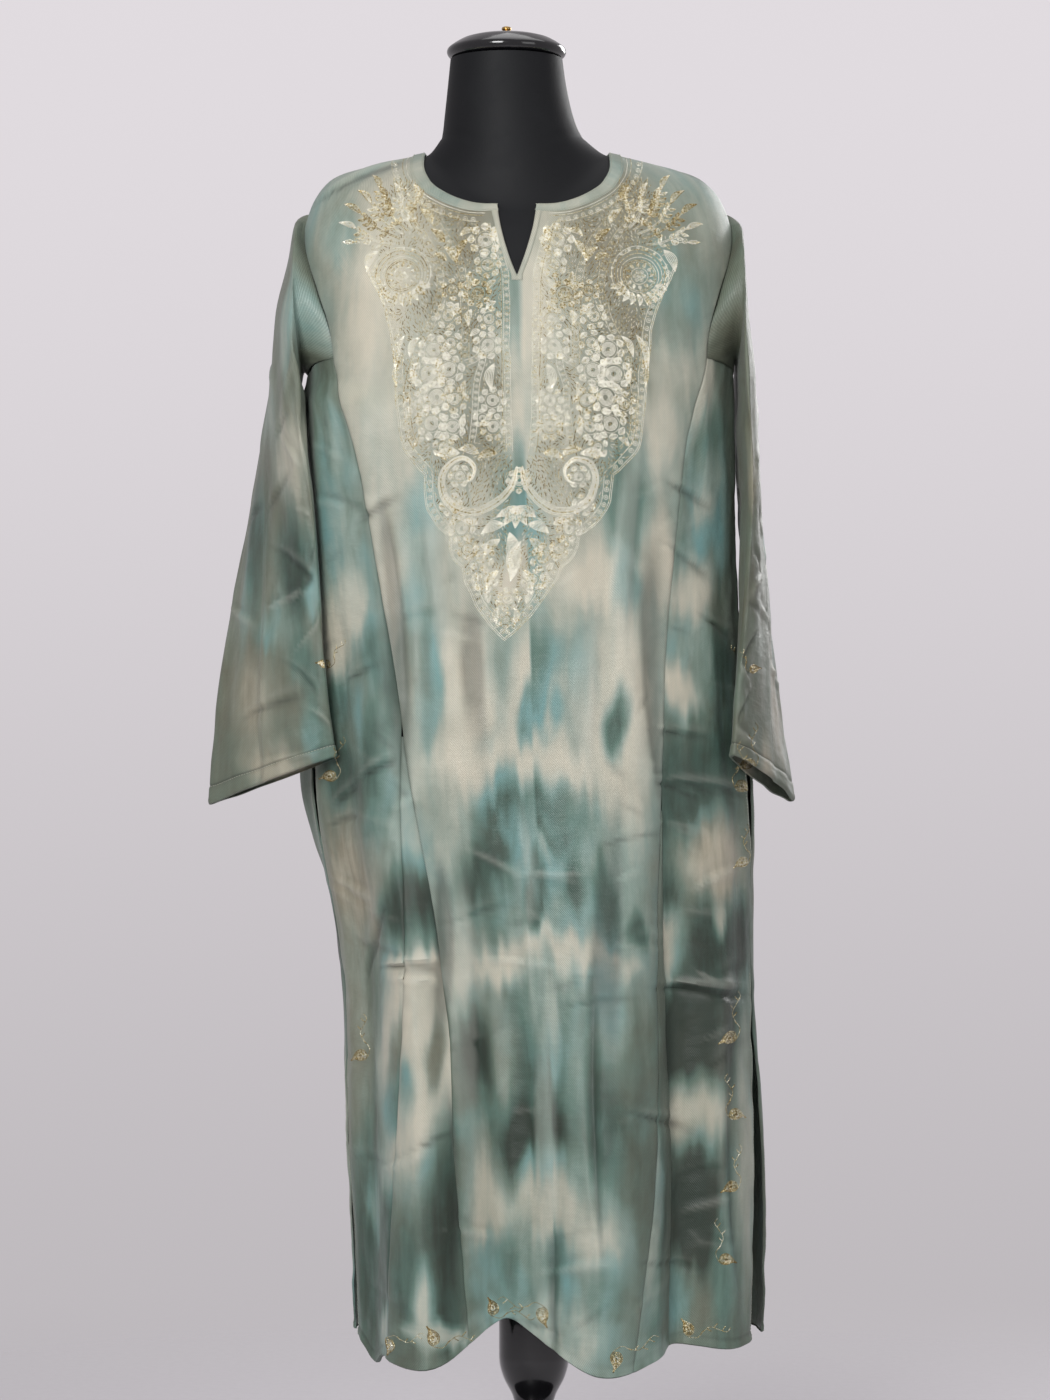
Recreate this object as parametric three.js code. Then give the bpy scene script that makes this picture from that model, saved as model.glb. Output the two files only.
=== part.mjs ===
// A long tie-dyed tunic worn by a limbless dress form on a turned stand.
// Millimetres, +Z up, the front faces -Y. The origin is the centre of the stand's foot, on the floor.
import * as THREE from "three";

// Driving dimensions
const CLOTH = 2; // wall of every cloth piece
const SEAM_GAP = 0.36; // between two pieces that are sewn together
const FORM_GAP = 0.75; // between the cloth's inside and the form round the neck
const SHOULDER_GAP = 2; // the same at the shoulders' ends, where the cloth bends more
const SLIT_HALF_TURN = 12; // half the neck slit's mouth, in degrees round the neckline
const NECK_BAND_DEPTH = 0.35; // how far the neck band reaches down, in rings
const TRIM_WALL = 0.9; // the neck band and the slit's binding
const TRIM_LIFT = 0.35; // how far they stand off the cloth
const BINDING_WIDTH = 6; // the slit's binding
const FOOT_RADIUS = 205;
const POST_RADIUS = 35;
const CAP_RADIUS = 60;

const radians = THREE.MathUtils.degToRad;
const clamp01 = (value) => THREE.MathUtils.clamp(value, 0, 1);
const smooth = (low, high, value) => THREE.MathUtils.smoothstep(value, low, high);
const mix = THREE.MathUtils.lerp;

// Turns rows of numbers under named columns into objects.
const table = (columns, rows) =>
  rows.map((row) => Object.fromEntries(columns.map((column, i) => [column, row[i]])));

// Rings of the tunic's outer surface, from the neckline to the hem: half the width, the depth to the front
// and to the back, where the ring's middle lies across, its height at the front, sides and back, and how
// square it is (2 is an ellipse).
const RING_COLUMNS = ["name", "half", "front", "back", "across", "frontZ", "sideZ", "backZ", "square"];
const RINGS = table(RING_COLUMNS, [
  ["neckline", 91, 84, 62, -17, 1358, 1421, 1413, 2.0],
  ["yoke", 136, 99, 79, -17, 1331, 1410, 1392, 2.1],
  ["shoulder", 188, 113, 94, -17, 1297, 1392, 1350, 2.25],
  ["arm_top", 213, 124, 103, -16, 1262, 1345, 1305, 2.35],
  ["arm_middle", 214, 132, 109, -15, 1222, 1285, 1262, 2.35],
  ["underarm", 213, 139, 113, -14, 1183, 1220, 1212, 2.3],
  ["bust", 211, 143, 115, -11, 1112, 1132, 1128, 2.25],
  ["waist", 210, 139, 118, -6, 950, 954, 956, 2.15],
  ["hip", 218, 136, 126, -1, 782, 782, 784, 2.15],
  ["thigh", 205, 136, 132, 13, 608, 608, 610, 2.15],
  ["knee", 206, 138, 136, 21, 430, 430, 432, 2.15],
  ["hem", 203, 140, 138, 22, 246, 246, 248, 2.15],
]);
const HEM = RINGS.length - 1;
const SHOULDER_END = 2.7; // ring position where the shoulder seam meets the sleeve
const UNDERARM = 5; // where the front seam, the gore and the sleeve meet
const UNDERARM_SIDE = 5.3; // the same edge at the side seam
const SLIT_END = 2.3; // the neck slit's point
const SLIT_CURVE = 1.4; // how the slit's edges curve in: 1 is a straight V
const ARMHOLE_CURVE = 1.25; // how the armhole's edge curves under the arm
const VENT_CURVE = 0.7; // how a vent spreads towards the hem: 1 is even

// Folds of the hanging cloth: where each lies round from the front, at its top and at the hem, the rings
// where it starts, is full and has gone again, how far it stands out (or in, below 0), half its width at its
// top and at the hem in degrees, how far it leans round at the hem, and how much its hem dips.
const BELOW = 99; // the end of a fold that runs off the hem
const FOLDS = table(
  ["name", "topTurn", "hemTurn", "starts", "full", "ends", "out", "topWide", "hemWide", "lean", "dip"],
  [
    ["left_flute", -35, -37, 5.6, 10.6, BELOW, 36, 8, 17, 13, 16],
    ["left_flank", -55, -66, 6.2, 9.5, BELOW, -9, 8, 9, 0, 22],
    ["centre_hollow", -11, -12, 7.2, 10.8, BELOW, -32, 13, 13, -6, -32],
    ["right_flute", 22, 13, 6.6, 10.6, BELOW, 31, 9, 14, -10, 20],
    ["right_valley", 38, 35, 6.4, 10.4, BELOW, -22, 6, 7, 0, -4],
    ["right_corner", 52, 54, 7.0, 10.5, BELOW, 10, 9, 10, 0, 4],
    ["left_pocket", -101, -101, 7.2, 7.9, 8.7, 17, 9, 9, 0, 0],
    ["back_left_hollow", -121, -118, 6.0, 10.4, BELOW, -22, 9, 11, 0, -6],
    ["back_left_flute", -143, -146, 5.8, 10.6, BELOW, 30, 10, 14, -8, 12],
    ["back_hollow", 178, 176, 6.4, 10.8, BELOW, -28, 13, 14, 5, -14],
    ["back_right_flute", 146, 142, 5.8, 10.6, BELOW, 32, 9, 14, 8, 13],
    ["back_right_hollow", 119, 114, 6.4, 10.4, BELOW, -20, 9, 10, 0, -6],
  ],
);

// The front neckline's depth below the first ring, at turns to either side of the middle.
const NECK_CUT = table(
  ["turn", "down"],
  [[12, 0], [16, 0.16], [24, 0.36], [34, 0.5], [46, 0.57], [58, 0.44], [70, 0.22], [80, 0.07], [90, 0]],
);

// Where each seam runs round from the front, in degrees, ring by ring from the underarm to the hem.
const SEAM_RINGS = [5, 6, 7, 8, 9, 10, 11];
const SEAMS = {
  left_front: [-57, -47, -38, -30, -27, -26, -23],
  right_front: [57, 47, 39, 34, 30, 26, 20],
  left_back: [-123, -132, -140, -147, -150, -152, -154],
  right_back: [123, 132, 140, 147, 150, 152, 154],
  left_side: [-90, -84, -80, -79, -80, -84, -86],
  right_side: [90, 84, 80, 79, 78, 80, 84],
};
// Godets let in between each panel and its gore: the step of the lower rows where each starts and the turn
// of its seam with the gore at the hem.
const GODETS = {
  left_front: { step: 6, hemTurn: -51 },
  right_front: { step: 7, hemTurn: 33 },
  left_back: { step: 7, hemTurn: -130 },
  right_back: { step: 7, hemTurn: 130 },
};
// Openings left in the side seams: a pocket slit at the hip and a vent from the thigh to the hem. Each gives
// the rings it spans and how far the cloth in front and behind stands off the seam at its widest, in degrees.
const SIDE_OPENINGS = {
  left: {
    pocket: { from: 7.35, to: 8.45, front: 4.4, back: 3.6 },
    vent: { from: 9.35, front: 4, back: 5 },
  },
  right: {
    pocket: { from: 7.4, to: 8.5, front: 3.8, back: 3.2 },
    vent: { from: 8.95, front: 16, back: 0.5 },
  },
};

// Sleeve sections from the shoulder to the cuff: height, the middle's place across and ahead (-Y is ahead),
// half the flat width and half the thickness, how far the flat tube turns its front edge inwards in degrees,
// how much its outer side is raised and how much its front edge is raised.
const SLEEVE_COLUMNS = ["name", "z", "across", "ahead", "wide", "thick", "turn", "tip", "slant"];
const SLEEVES = {
  left: table(SLEEVE_COLUMNS, [
    ["head", 1277, -234, 0, 66, 4, 0, 75, 0],
    ["cap", 1251, -239, -2, 74, 7, 3, 61, 0],
    ["shoulder", 1224, -245, -4, 80, 11, 6, 44, 0],
    ["upper", 1195, -250, -7, 84, 14, 9, 27, 0],
    ["biceps", 1147, -255, -12, 85, 15, 14, 12, 0],
    ["elbow", 1070, -259, -21, 84, 14, 24, 3, 0],
    ["forearm", 975, -260, -33, 80, 13, 36, 0, 3],
    ["wrist", 875, -260, -44, 76, 13, 48, 0, 11],
    ["cuff", 795, -258, -53, 71, 14, 64, 0, 24],
  ]),
  right: table(SLEEVE_COLUMNS, [
    ["head", 1280, 204, 0, 67, 3, 0, 68, 0],
    ["cap", 1252, 206, -1, 74, 4, 0, 57, 0],
    ["shoulder", 1223, 207, -2, 80, 5, 0, 42, 0],
    ["upper", 1194, 209, -4, 84, 7, 0, 26, 0],
    ["biceps", 1147, 211, -6, 85, 9, 0, 12, 0],
    ["elbow", 1070, 215, -10, 84, 11, 1, 3, 0],
    ["forearm", 975, 220, -21, 80, 12, 9, 0, 3],
    ["wrist", 875, 222, -38, 76, 11, 18, 0, 11],
    ["cuff", 797, 226, -46, 71, 12, 27, 0, 24],
  ]),
};

// The form inside, from its neck's top down to its flat underside, with the same ring columns. Between the
// two tables it follows the tunic, set in by the cloth's wall and the gap the cloth rests at.
const FORM_NECK = table(RING_COLUMNS, [
  ["neck_top", 56, 57, 57, -27.5, 1515, 1515, 1515, 2.0],
  ["neck_upper", 59, 60, 59, -27, 1490, 1490, 1490, 2.0],
  ["neck_middle", 64.5, 66, 62, -25, 1455, 1457, 1458, 2.0],
  ["neck_seam", 69, 71, 60, -22.5, 1424, 1440, 1442, 2.0],
  ["neck_foot", 79, 75, 58, -19.5, 1385, 1427, 1425, 2.0],
]);
const FORM_RESTS = [0, 0.4, 0.8, 1.3, 1.8, 2.15];
const SHOULDER_FROM = 0.6; // the rings between which the gap grows from the neck's to the shoulders'
const SHOULDER_TO = 1.8;
const FORM_TORSO = table(RING_COLUMNS, [
  ["arm_plate_top", 199, 112, 92, -16, 1262, 1341, 1300, 2.2],
  ["arm_plate", 193, 118, 96, -15, 1215, 1286, 1250, 2.1],
  ["arm_plate_foot", 180, 124, 98, -14, 1165, 1222, 1195, 2.0],
  ["bust", 163, 127, 96, -12, 1110, 1128, 1120, 2.0],
  ["under_bust", 145, 110, 90, -10, 1045, 1050, 1050, 2.0],
  ["waist", 126, 92, 82, -8, 965, 965, 965, 2.0],
  ["high_hip", 147, 104, 98, -5, 875, 875, 875, 2.0],
  ["hip", 170, 110, 105, -3, 785, 785, 785, 2.05],
  ["foot", 170, 106, 102, -2, 722, 722, 722, 2.05],
  ["underside", 164, 101, 97, -2, 714, 714, 714, 2.05],
]);

// Turned and round parts: radius and height from the floor, from the bottom up.
const BASE_PROFILE = [[FOOT_RADIUS, 0], [FOOT_RADIUS, 7], [FOOT_RADIUS - 5, 11], [60, 21], [46, 22]];
const POST_PROFILE = [
  [44, 22.3], [44, 31], [38, 36], [29, 40], [23, 58], [18.5, 95], [17.5, 135], [18.5, 170], [22, 182],
  [30, 196], [POST_RADIUS - 1, 208], [POST_RADIUS, 216], [POST_RADIUS, 258], [POST_RADIUS - 1, 268],
  [31, 292], [27, 318], [24, 336], [29, 341], [31, 347], [29, 353], [22, 358], [21, 400], [21, 713.7],
];
const CAP_PROFILE = [
  [CAP_RADIUS - 7, 1515.3], [CAP_RADIUS - 2, 1518], [CAP_RADIUS, 1522], [CAP_RADIUS - 1, 1526],
  [CAP_RADIUS - 8, 1531], [44, 1535.5], [33, 1538.5], [22, 1540], [9, 1540.6],
];
const FINIAL_PROFILE = [[6, 1540.9], [6, 1542], [3.5, 1543], [3.5, 1544], [5, 1545.5], [4.5, 1547.5], [2, 1548.5]];
const NECK_ACROSS = -27.5; // the neck's middle, under its cap

// Grid lines
const SLIT_FOOT = 2.45; // the lower end of the slit's binding
const YOKE_ROWS = [0, NECK_BAND_DEPTH, 0.8, 1.3, 1.8, SLIT_END, SLIT_FOOT];
const ARMHOLE_ROWS = [SHOULDER_END, 2.95, 3.22, 3.5, 3.78, 4.06, 4.36, 4.68, UNDERARM];
const LOWER_STEPS = 14;
const PANEL_COLUMNS = 12; // on each side of the middle
const BACK_COLUMNS = 20; // from seam to seam
const GORE_COLUMNS = 6;
const GODET_COLUMNS = 3;
const GODET_TIP = 0.2; // where a godet's cut point lies between its seam's point and its first row
const SLEEVE_ROWS = [0, 0.5, 1, 1.6, 2.3, 3, 3.7, 4.4, 5.1, 5.8, 6.5, 7.2, 7.9, 8.5, 9];
const CORNER_TURN = 140; // the sleeve's turn, from its outer side, that meets the underarm's corners
const FORM_STEPS = 36;
const CAP_STEPS = 28; // round the cap and the post
const FINIAL_STEPS = 12;
const BASE_STEPS = 40;
const NORMAL_TURN = 0.4; // the small steps, in degrees and rings, that a normal is measured over
const NORMAL_DOWN = 0.02;

const signedPower = (value, power) => Math.sign(value) * Math.abs(value) ** power;

// A point of one ring, a turn of so many degrees round from the front towards +X.
function ringPoint(ring, turn) {
  const s = Math.sin(radians(turn));
  const c = Math.cos(radians(turn));
  const depth = c > 0 ? ring.front : ring.back;
  const endZ = c > 0 ? ring.frontZ : ring.backZ;
  return new THREE.Vector3(
    ring.across + ring.half * signedPower(s, 2 / ring.square),
    -depth * signedPower(c, 2 / ring.square),
    ring.sideZ * s * s + endZ * c * c,
  );
}

// A smooth curve through four values, between the middle two.
function through(a, b, c, d, t) {
  const t2 = t * t;
  const t3 = t2 * t;
  return 0.5 * (2 * b + (c - a) * t + (2 * a - 5 * b + 4 * c - d) * t2 + (3 * b - a - 3 * c + d) * t3);
}

// The unfolded body surface, at a turn round and a ring position down.
function plainBody(turn, down) {
  const k = Math.min(Math.max(Math.floor(down), 0), HEM - 1);
  const near = [k - 1, k, k + 1, k + 2].map((i) => ringPoint(RINGS[Math.min(Math.max(i, 0), HEM)], turn));
  const at = (axis) => through(...near.map((p) => p[axis]), down - k);
  return new THREE.Vector3(at("x"), at("y"), at("z"));
}

const turnBetween = (a, b) => ((((a - b) % 360) + 540) % 360) - 180;

// What the folds add at a point: out from the surface, round along it, and down.
function foldsAt(turn, down) {
  const sum = { out: 0, round: 0, dip: 0 };
  for (const fold of FOLDS) {
    const along = clamp01((down - fold.starts) / (HEM - fold.starts));
    const share = smooth(fold.starts, fold.full, down) * (1 - smooth(fold.full, fold.ends, down));
    const middle = mix(fold.topTurn, fold.hemTurn, along);
    const offset = turnBetween(turn, middle) / mix(fold.topWide, fold.hemWide, along);
    const bump = share * Math.exp(-offset * offset);
    sum.out += fold.out * bump;
    sum.round += fold.lean * bump * along;
    sum.dip += fold.dip * bump * along * along;
  }
  return sum;
}

// The body surface with its folds.
function body(turn, down) {
  const p = plainBody(turn, down);
  const ahead = plainBody(turn + 1, down).sub(plainBody(turn - 1, down)).setZ(0).normalize();
  const outward = new THREE.Vector3(ahead.y, -ahead.x, 0);
  const { out, round, dip } = foldsAt(turn, down);
  p.addScaledVector(outward, out).addScaledVector(ahead, round);
  p.z -= dip;
  return p;
}

// The outward normal of a surface given as a function of two numbers, by small steps along each.
function normalOf(surface, u, v, stepU, stepV) {
  const du = surface(u + stepU, v).sub(surface(u - stepU, v));
  const dv = surface(u, v + stepV).sub(surface(u, v - stepV));
  return dv.cross(du).normalize();
}

// How far the surface runs for one degree round, in millimetres.
const perDegree = (turn, down) => body(turn + 0.5, down).distanceTo(body(turn - 0.5, down));

// A vertex of the body: its point and normal, moved off the surface by so much.
function bodyVertex(turn, down, off = 0) {
  const inRange = Math.min(Math.max(down, NORMAL_DOWN), HEM - NORMAL_DOWN);
  const normal = normalOf(body, turn, inRange, NORMAL_TURN, NORMAL_DOWN);
  return { point: body(turn, down).addScaledVector(normal, off), normal };
}

// A closed solid from a sheet of vertices and faces: the sheet, a copy moved in by the wall, and its rim.
function wallOf(vertices, faces, wall) {
  const count = vertices.length;
  const positions = vertices.map((v) => v.point.toArray());
  for (const { point, normal } of vertices) {
    positions.push(point.clone().addScaledVector(normal, -wall).toArray());
  }
  const index = [];
  const open = new Map();
  for (const [a, b, c] of faces) {
    index.push(a, b, c, c + count, b + count, a + count);
    for (const [from, to] of [[a, b], [b, c], [c, a]]) {
      const back = to + "," + from;
      if (open.has(back)) open.delete(back);
      else open.set(from + "," + to, [from, to]);
    }
  }
  for (const [from, to] of open.values()) {
    const rises = vertices[to].point.z > vertices[from].point.z; // so that two edges that meet are cut alike
    if (rises) index.push(to, from, from + count, to, from + count, to + count);
    else index.push(to, from, to + count, from, from + count, to + count);
  }
  const geometry = new THREE.BufferGeometry();
  geometry.setAttribute("position", new THREE.Float32BufferAttribute(positions.flat(), 3));
  geometry.setIndex(index);
  return geometry;
}

// Faces between rows of vertex numbers; each square is cut along its shorter diagonal.
function facesOf(grid, vertices, flip = false) {
  const faces = [];
  const length = (a, b) => vertices[a].point.distanceTo(vertices[b].point);
  for (let i = 0; i + 1 < grid.length; i++) {
    for (let j = 0; j + 1 < grid[i].length; j++) {
      const [a, b] = [grid[i][j], grid[i][j + 1]];
      const [c, d] = [grid[i + 1][j], grid[i + 1][j + 1]];
      const pair = length(a, d) < length(b, c) ? [[a, c, d], [a, d, b]] : [[a, c, b], [b, c, d]];
      faces.push(...pair.filter(([x, y, z]) => x !== y && y !== z && z !== x));
    }
  }
  return flip ? faces.map(([x, y, z]) => [z, y, x]) : faces;
}

// The ring positions of the body's rows: upper ones, then even steps from an edge's start to the hem.
const lowerRow = (start, step) => mix(start, HEM, step / LOWER_STEPS);
const lowerRows = Array.from({ length: LOWER_STEPS }, (_, i) => lowerRow(UNDERARM, i + 1));
const panelRows = [...YOKE_ROWS, ...ARMHOLE_ROWS, ...lowerRows];

// A seam's turn at a ring position, smoothed between the listed rings.
function seamTurn(seam, down) {
  const values = SEAMS[seam];
  const last = values.length - 1;
  const along = Math.min(Math.max(down - SEAM_RINGS[0], 0), last);
  const k = Math.min(Math.floor(along), last - 1);
  const near = [k - 1, k, k + 1, k + 2].map((i) => values[Math.min(Math.max(i, 0), last)]);
  return through(...near, along - k);
}

// The armhole's front or back edge between the shoulder's end and the underarm.
function armholeTurn(seam, down) {
  const corner = SEAMS[seam][0];
  const top = Math.sign(corner) * 90;
  const along = clamp01((down - SHOULDER_END) / (UNDERARM - SHOULDER_END));
  return mix(top, corner, Math.sin((along * Math.PI) / 2) ** ARMHOLE_CURVE);
}

// A turn moved sideways by so many millimetres.
const moved = (turn, down, millimetres) => turn + millimetres / perDegree(turn, down);

// The edge of the front or back panel at a ring position, kept clear of its neighbour.
function panelEdge(seam, down) {
  const middle = seam.endsWith("front") ? 0 : Math.sign(SEAMS[seam][0]) * 180;
  let turn = Math.sign(SEAMS[seam][0]) * 90;
  if (down > SHOULDER_END) turn = armholeTurn(seam, down);
  if (down >= UNDERARM) turn = seamTurn(seam, down);
  return moved(turn, down, (Math.sign(middle - turn) * SEAM_GAP) / 2);
}

// How far below the first ring the neckline is cut at a turn, which makes it round and deep at the front.
function neckCut(turn) {
  const k = NECK_CUT.findIndex((row) => Math.abs(turn) <= row.turn);
  if (k <= 0) return 0;
  const [low, high] = [NECK_CUT[k - 1], NECK_CUT[k]];
  const t = (Math.abs(turn) - low.turn) / (high.turn - low.turn);
  return mix(low.down, high.down, t);
}

// A yoke row's ring position at a turn, squeezed between the neckline's cut and the slit's foot.
function belowNeck(turn, row) {
  if (row >= SLIT_FOOT) return row;
  return row + neckCut(turn) * (1 - row / SLIT_FOOT);
}

// Half the neck slit's opening at a ring position, in degrees.
const slitHalfTurn = (down) => SLIT_HALF_TURN * (1 - clamp01(down / SLIT_END) ** SLIT_CURVE);

// The turns of one half of the front panel's row: the slit's edge or the middle, the binding's edge, and
// even steps out to the seam.
function frontTurns(side, down) {
  const sign = side === "left" ? -1 : 1;
  const inner = sign * slitHalfTurn(down);
  const bound = moved(inner, down, sign * BINDING_WIDTH);
  const outer = panelEdge(side + "_front", down);
  const turns = [inner];
  for (let j = 1; j <= PANEL_COLUMNS; j++) turns.push(mix(bound, outer, (j - 1) / (PANEL_COLUMNS - 1)));
  return turns;
}

// The back panel's row, from its right edge round to its left one.
function backTurns(down) {
  const from = panelEdge("right_back", down);
  const to = panelEdge("left_back", down) + 360;
  return Array.from({ length: BACK_COLUMNS + 1 }, (_, j) => mix(from, to, j / BACK_COLUMNS));
}

// The two halves of a front piece, over the given rows and the first so many columns, joined on the middle
// line wherever the slit is closed.
function frontPiece(rows, columns, off, wall) {
  const vertices = [];
  const add = (turn, down) => vertices.push(bodyVertex(turn, belowNeck(turn, down), off)) - 1;
  const halves = { left: [], right: [] };
  for (const down of rows) {
    const middle = down >= SLIT_END ? add(0, down) : null;
    for (const side of ["left", "right"]) {
      const turns = frontTurns(side, down).slice(0, columns + 1);
      halves[side].push(turns.map((turn, j) => (j === 0 && middle !== null ? middle : add(turn, down))));
    }
  }
  const faces = [...facesOf(halves.right, vertices), ...facesOf(halves.left, vertices, true)];
  return wallOf(vertices, faces, wall);
}

function backPanel() {
  const vertices = [];
  const grid = panelRows.map((down) =>
    backTurns(down).map((turn) => vertices.push(bodyVertex(turn, down)) - 1),
  );
  return wallOf(vertices, facesOf(grid, vertices), CLOTH);
}

// The band round the neckline, on the panels' own lines, from one edge of the slit round to the other.
function neckBand() {
  const vertices = [];
  const grid = [0, NECK_BAND_DEPTH].map((down) => {
    const right = frontTurns("right", down).slice(0, -1);
    const left = frontTurns("left", down).slice(0, -1).map((turn) => turn + 360).reverse();
    const back = backTurns(down).slice(1, -1);
    const turns = [...right, 90, ...back, 270, ...left];
    return turns.map((turn) => {
      const below = turn > 90 && turn < 270 ? down : belowNeck(turn > 180 ? turn - 360 : turn, down);
      return vertices.push(bodyVertex(turn, below, TRIM_LIFT + TRIM_WALL)) - 1;
    });
  });
  return wallOf(vertices, facesOf(grid, vertices), TRIM_WALL);
}

const outwardsFrom = (side, part) => ((side === "left") === (part === "front") ? 1 : -1);

// How far an edge at the side seam stands off it, in degrees, where the seam is left open.
function openingAt(side, part, down) {
  const { pocket, vent } = SIDE_OPENINGS[side];
  const lens = Math.sin(Math.PI * clamp01((down - pocket.from) / (pocket.to - pocket.from)));
  const spread = smooth(vent.from, HEM, down) ** VENT_CURVE;
  return pocket[part] * lens * lens + vent[part] * spread;
}

// The side seam's edge of the front or back cloth, before half the seam's gap.
const sideTurn = (side, part, down) =>
  seamTurn(side + "_side", down) + outwardsFrom(side, part) * openingAt(side, part, down);

// The godet's seam with its gore, from its point on the panel's seam to the hem.
function godetTurn(side, part, down) {
  const { step, hemTurn } = GODETS[side + "_" + part];
  const starts = lowerRow(UNDERARM, step);
  const along = clamp01((down - starts) / (HEM - starts));
  const own = seamTurn(side + "_" + part, down);
  return own + (hemTurn - seamTurn(side + "_" + part, HEM)) * along;
}

// One of the gore's turns, s of the way from its inner seam to the side seam. The inner seam is the panel's
// down to the godet's point and the godet's below it.
function goreTurn(side, part, s, down) {
  const away = outwardsFrom(side, part);
  const inner = moved(godetTurn(side, part, down), down, (-away * SEAM_GAP) / 2);
  const outer = moved(sideTurn(side, part, down), down, (away * SEAM_GAP) / 2);
  return mix(inner, outer, s);
}

// The front or back gore on one side; its upper edge falls a little towards the side seam.
function gore(side, part) {
  const vertices = [];
  const grid = Array.from({ length: LOWER_STEPS + 1 }, (_, i) =>
    Array.from({ length: GORE_COLUMNS + 1 }, (_, j) => {
      const s = j / GORE_COLUMNS;
      const down = mix(lowerRow(UNDERARM, i), lowerRow(UNDERARM_SIDE, i), s);
      return vertices.push(bodyVertex(goreTurn(side, part, s, down), down)) - 1;
    }),
  );
  return wallOf(vertices, facesOf(grid, vertices, outwardsFrom(side, part) > 0), CLOTH);
}

// A godet between its panel and its gore, widening from a point.
function godet(side, part) {
  const away = outwardsFrom(side, part);
  const { step } = GODETS[side + "_" + part];
  const full = lowerRows.slice(step).map((down) => {
    const inner = moved(seamTurn(side + "_" + part, down), down, (-away * SEAM_GAP) / 2);
    const outer = moved(godetTurn(side, part, down), down, (away * SEAM_GAP) / 2);
    return Array.from({ length: GODET_COLUMNS + 1 }, (_, j) =>
      bodyVertex(mix(inner, outer, j / GODET_COLUMNS), down),
    );
  });
  const starts = lowerRow(UNDERARM, step);
  const tip = bodyVertex(seamTurn(side + "_" + part, starts), starts);
  const first = full[0].map(({ point, normal }) => ({
    point: tip.point.clone().lerp(point, GODET_TIP),
    normal: tip.normal.clone().lerp(normal, GODET_TIP).normalize(),
  }));
  const vertices = [first, ...full].flat();
  const width = GODET_COLUMNS + 1;
  const grid = [first, ...full].map((row, i) => row.map((_, j) => i * width + j));
  return wallOf(vertices, facesOf(grid, vertices, away > 0), CLOTH);
}

// The armhole's line, from the shoulder down the front, along the underarm and up the back.
function armholeLine(side) {
  const edge = (part) => ARMHOLE_ROWS.map((down) => bodyVertex(armholeTurn(side + "_" + part, down), down));
  const under = (part) =>
    Array.from({ length: GORE_COLUMNS }, (_, j) => {
      const s = (j + 1) / GORE_COLUMNS;
      const down = mix(UNDERARM, UNDERARM_SIDE, s);
      return bodyVertex(goreTurn(side, part, s, down), down);
    });
  return [...edge("front"), ...under("front"), ...under("back").slice(0, -1).reverse(), ...edge("back").slice(1).reverse()];
}

// The sleeve's turn round its section for each point of the armhole's line, 0 at the outer side.
function sleeveTurns() {
  const edge = ARMHOLE_ROWS.length - 1;
  const turns = [];
  for (let k = 0; k < edge; k++) turns.push((CORNER_TURN * k) / edge);
  for (let k = 0; k < GORE_COLUMNS; k++) turns.push(mix(CORNER_TURN, 180, k / GORE_COLUMNS));
  return [...turns, 180, ...turns.slice(1).reverse().map((turn) => 360 - turn)];
}

// A point of a sleeve's section, a flat tube hanging edge on.
function sleevePoint(section, turn, sign) {
  const c = Math.cos(radians(turn));
  const s = Math.sin(radians(turn));
  const tilt = radians(section.turn);
  const aside = section.thick * c;
  const ahead = section.wide * s;
  return new THREE.Vector3(
    section.across + sign * (aside * Math.cos(tilt) - ahead * Math.sin(tilt)),
    section.ahead - aside * Math.sin(tilt) - ahead * Math.cos(tilt),
    section.z + section.tip * c + section.slant * s,
  );
}

function sleeve(side) {
  const sign = side === "left" ? -1 : 1;
  const turns = sleeveTurns();
  const armhole = armholeLine(side);
  const middle = armhole.reduce((sum, v) => sum.add(v.point), new THREE.Vector3());
  middle.divideScalar(armhole.length);
  const start = armhole.map(({ point, normal }, k) => {
    const near = [armhole.at(k - 1).point, armhole[(k + 1) % armhole.length].point];
    const across = near[1].clone().sub(near[0]).cross(normal).normalize();
    if (across.dot(middle.clone().sub(point)) < 0) across.negate();
    return point.clone().addScaledVector(across, SEAM_GAP);
  });
  const sections = SLEEVES[side].map((section) => turns.map((turn) => sleevePoint(section, turn, sign)));
  const rings = [start, ...sections];
  const rows = SLEEVE_ROWS.map((row) => {
    const k = Math.min(Math.floor(row), rings.length - 2);
    const near = [k - 1, k, k + 1, k + 2].map((i) => rings[Math.min(Math.max(i, 0), rings.length - 1)]);
    return turns.map((_, j) => {
      const at = (axis) => through(...near.map((ring) => ring[j][axis]), row - k);
      return new THREE.Vector3(at("x"), at("y"), at("z"));
    });
  });
  const vertices = [];
  const count = turns.length;
  rows.forEach((row, i) => {
    row.forEach((point, j) => {
      const round = row[(j + 1) % count].clone().sub(row[(j + count - 1) % count]);
      const along = rows[Math.min(i + 1, rows.length - 1)][j].clone().sub(rows[Math.max(i - 1, 0)][j]);
      const normal = round.cross(along).normalize().multiplyScalar(sign);
      if (i === 0) normal.lerp(armhole[j].normal, (1 + Math.cos(radians(turns[j]))) / 2).normalize();
      vertices.push({ point, normal });
    });
  });
  const grid = rows.map((_, i) => Array.from({ length: count + 1 }, (_, j) => i * count + (j % count)));
  return wallOf(vertices, facesOf(grid, vertices, sign > 0), CLOTH);
}

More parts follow.
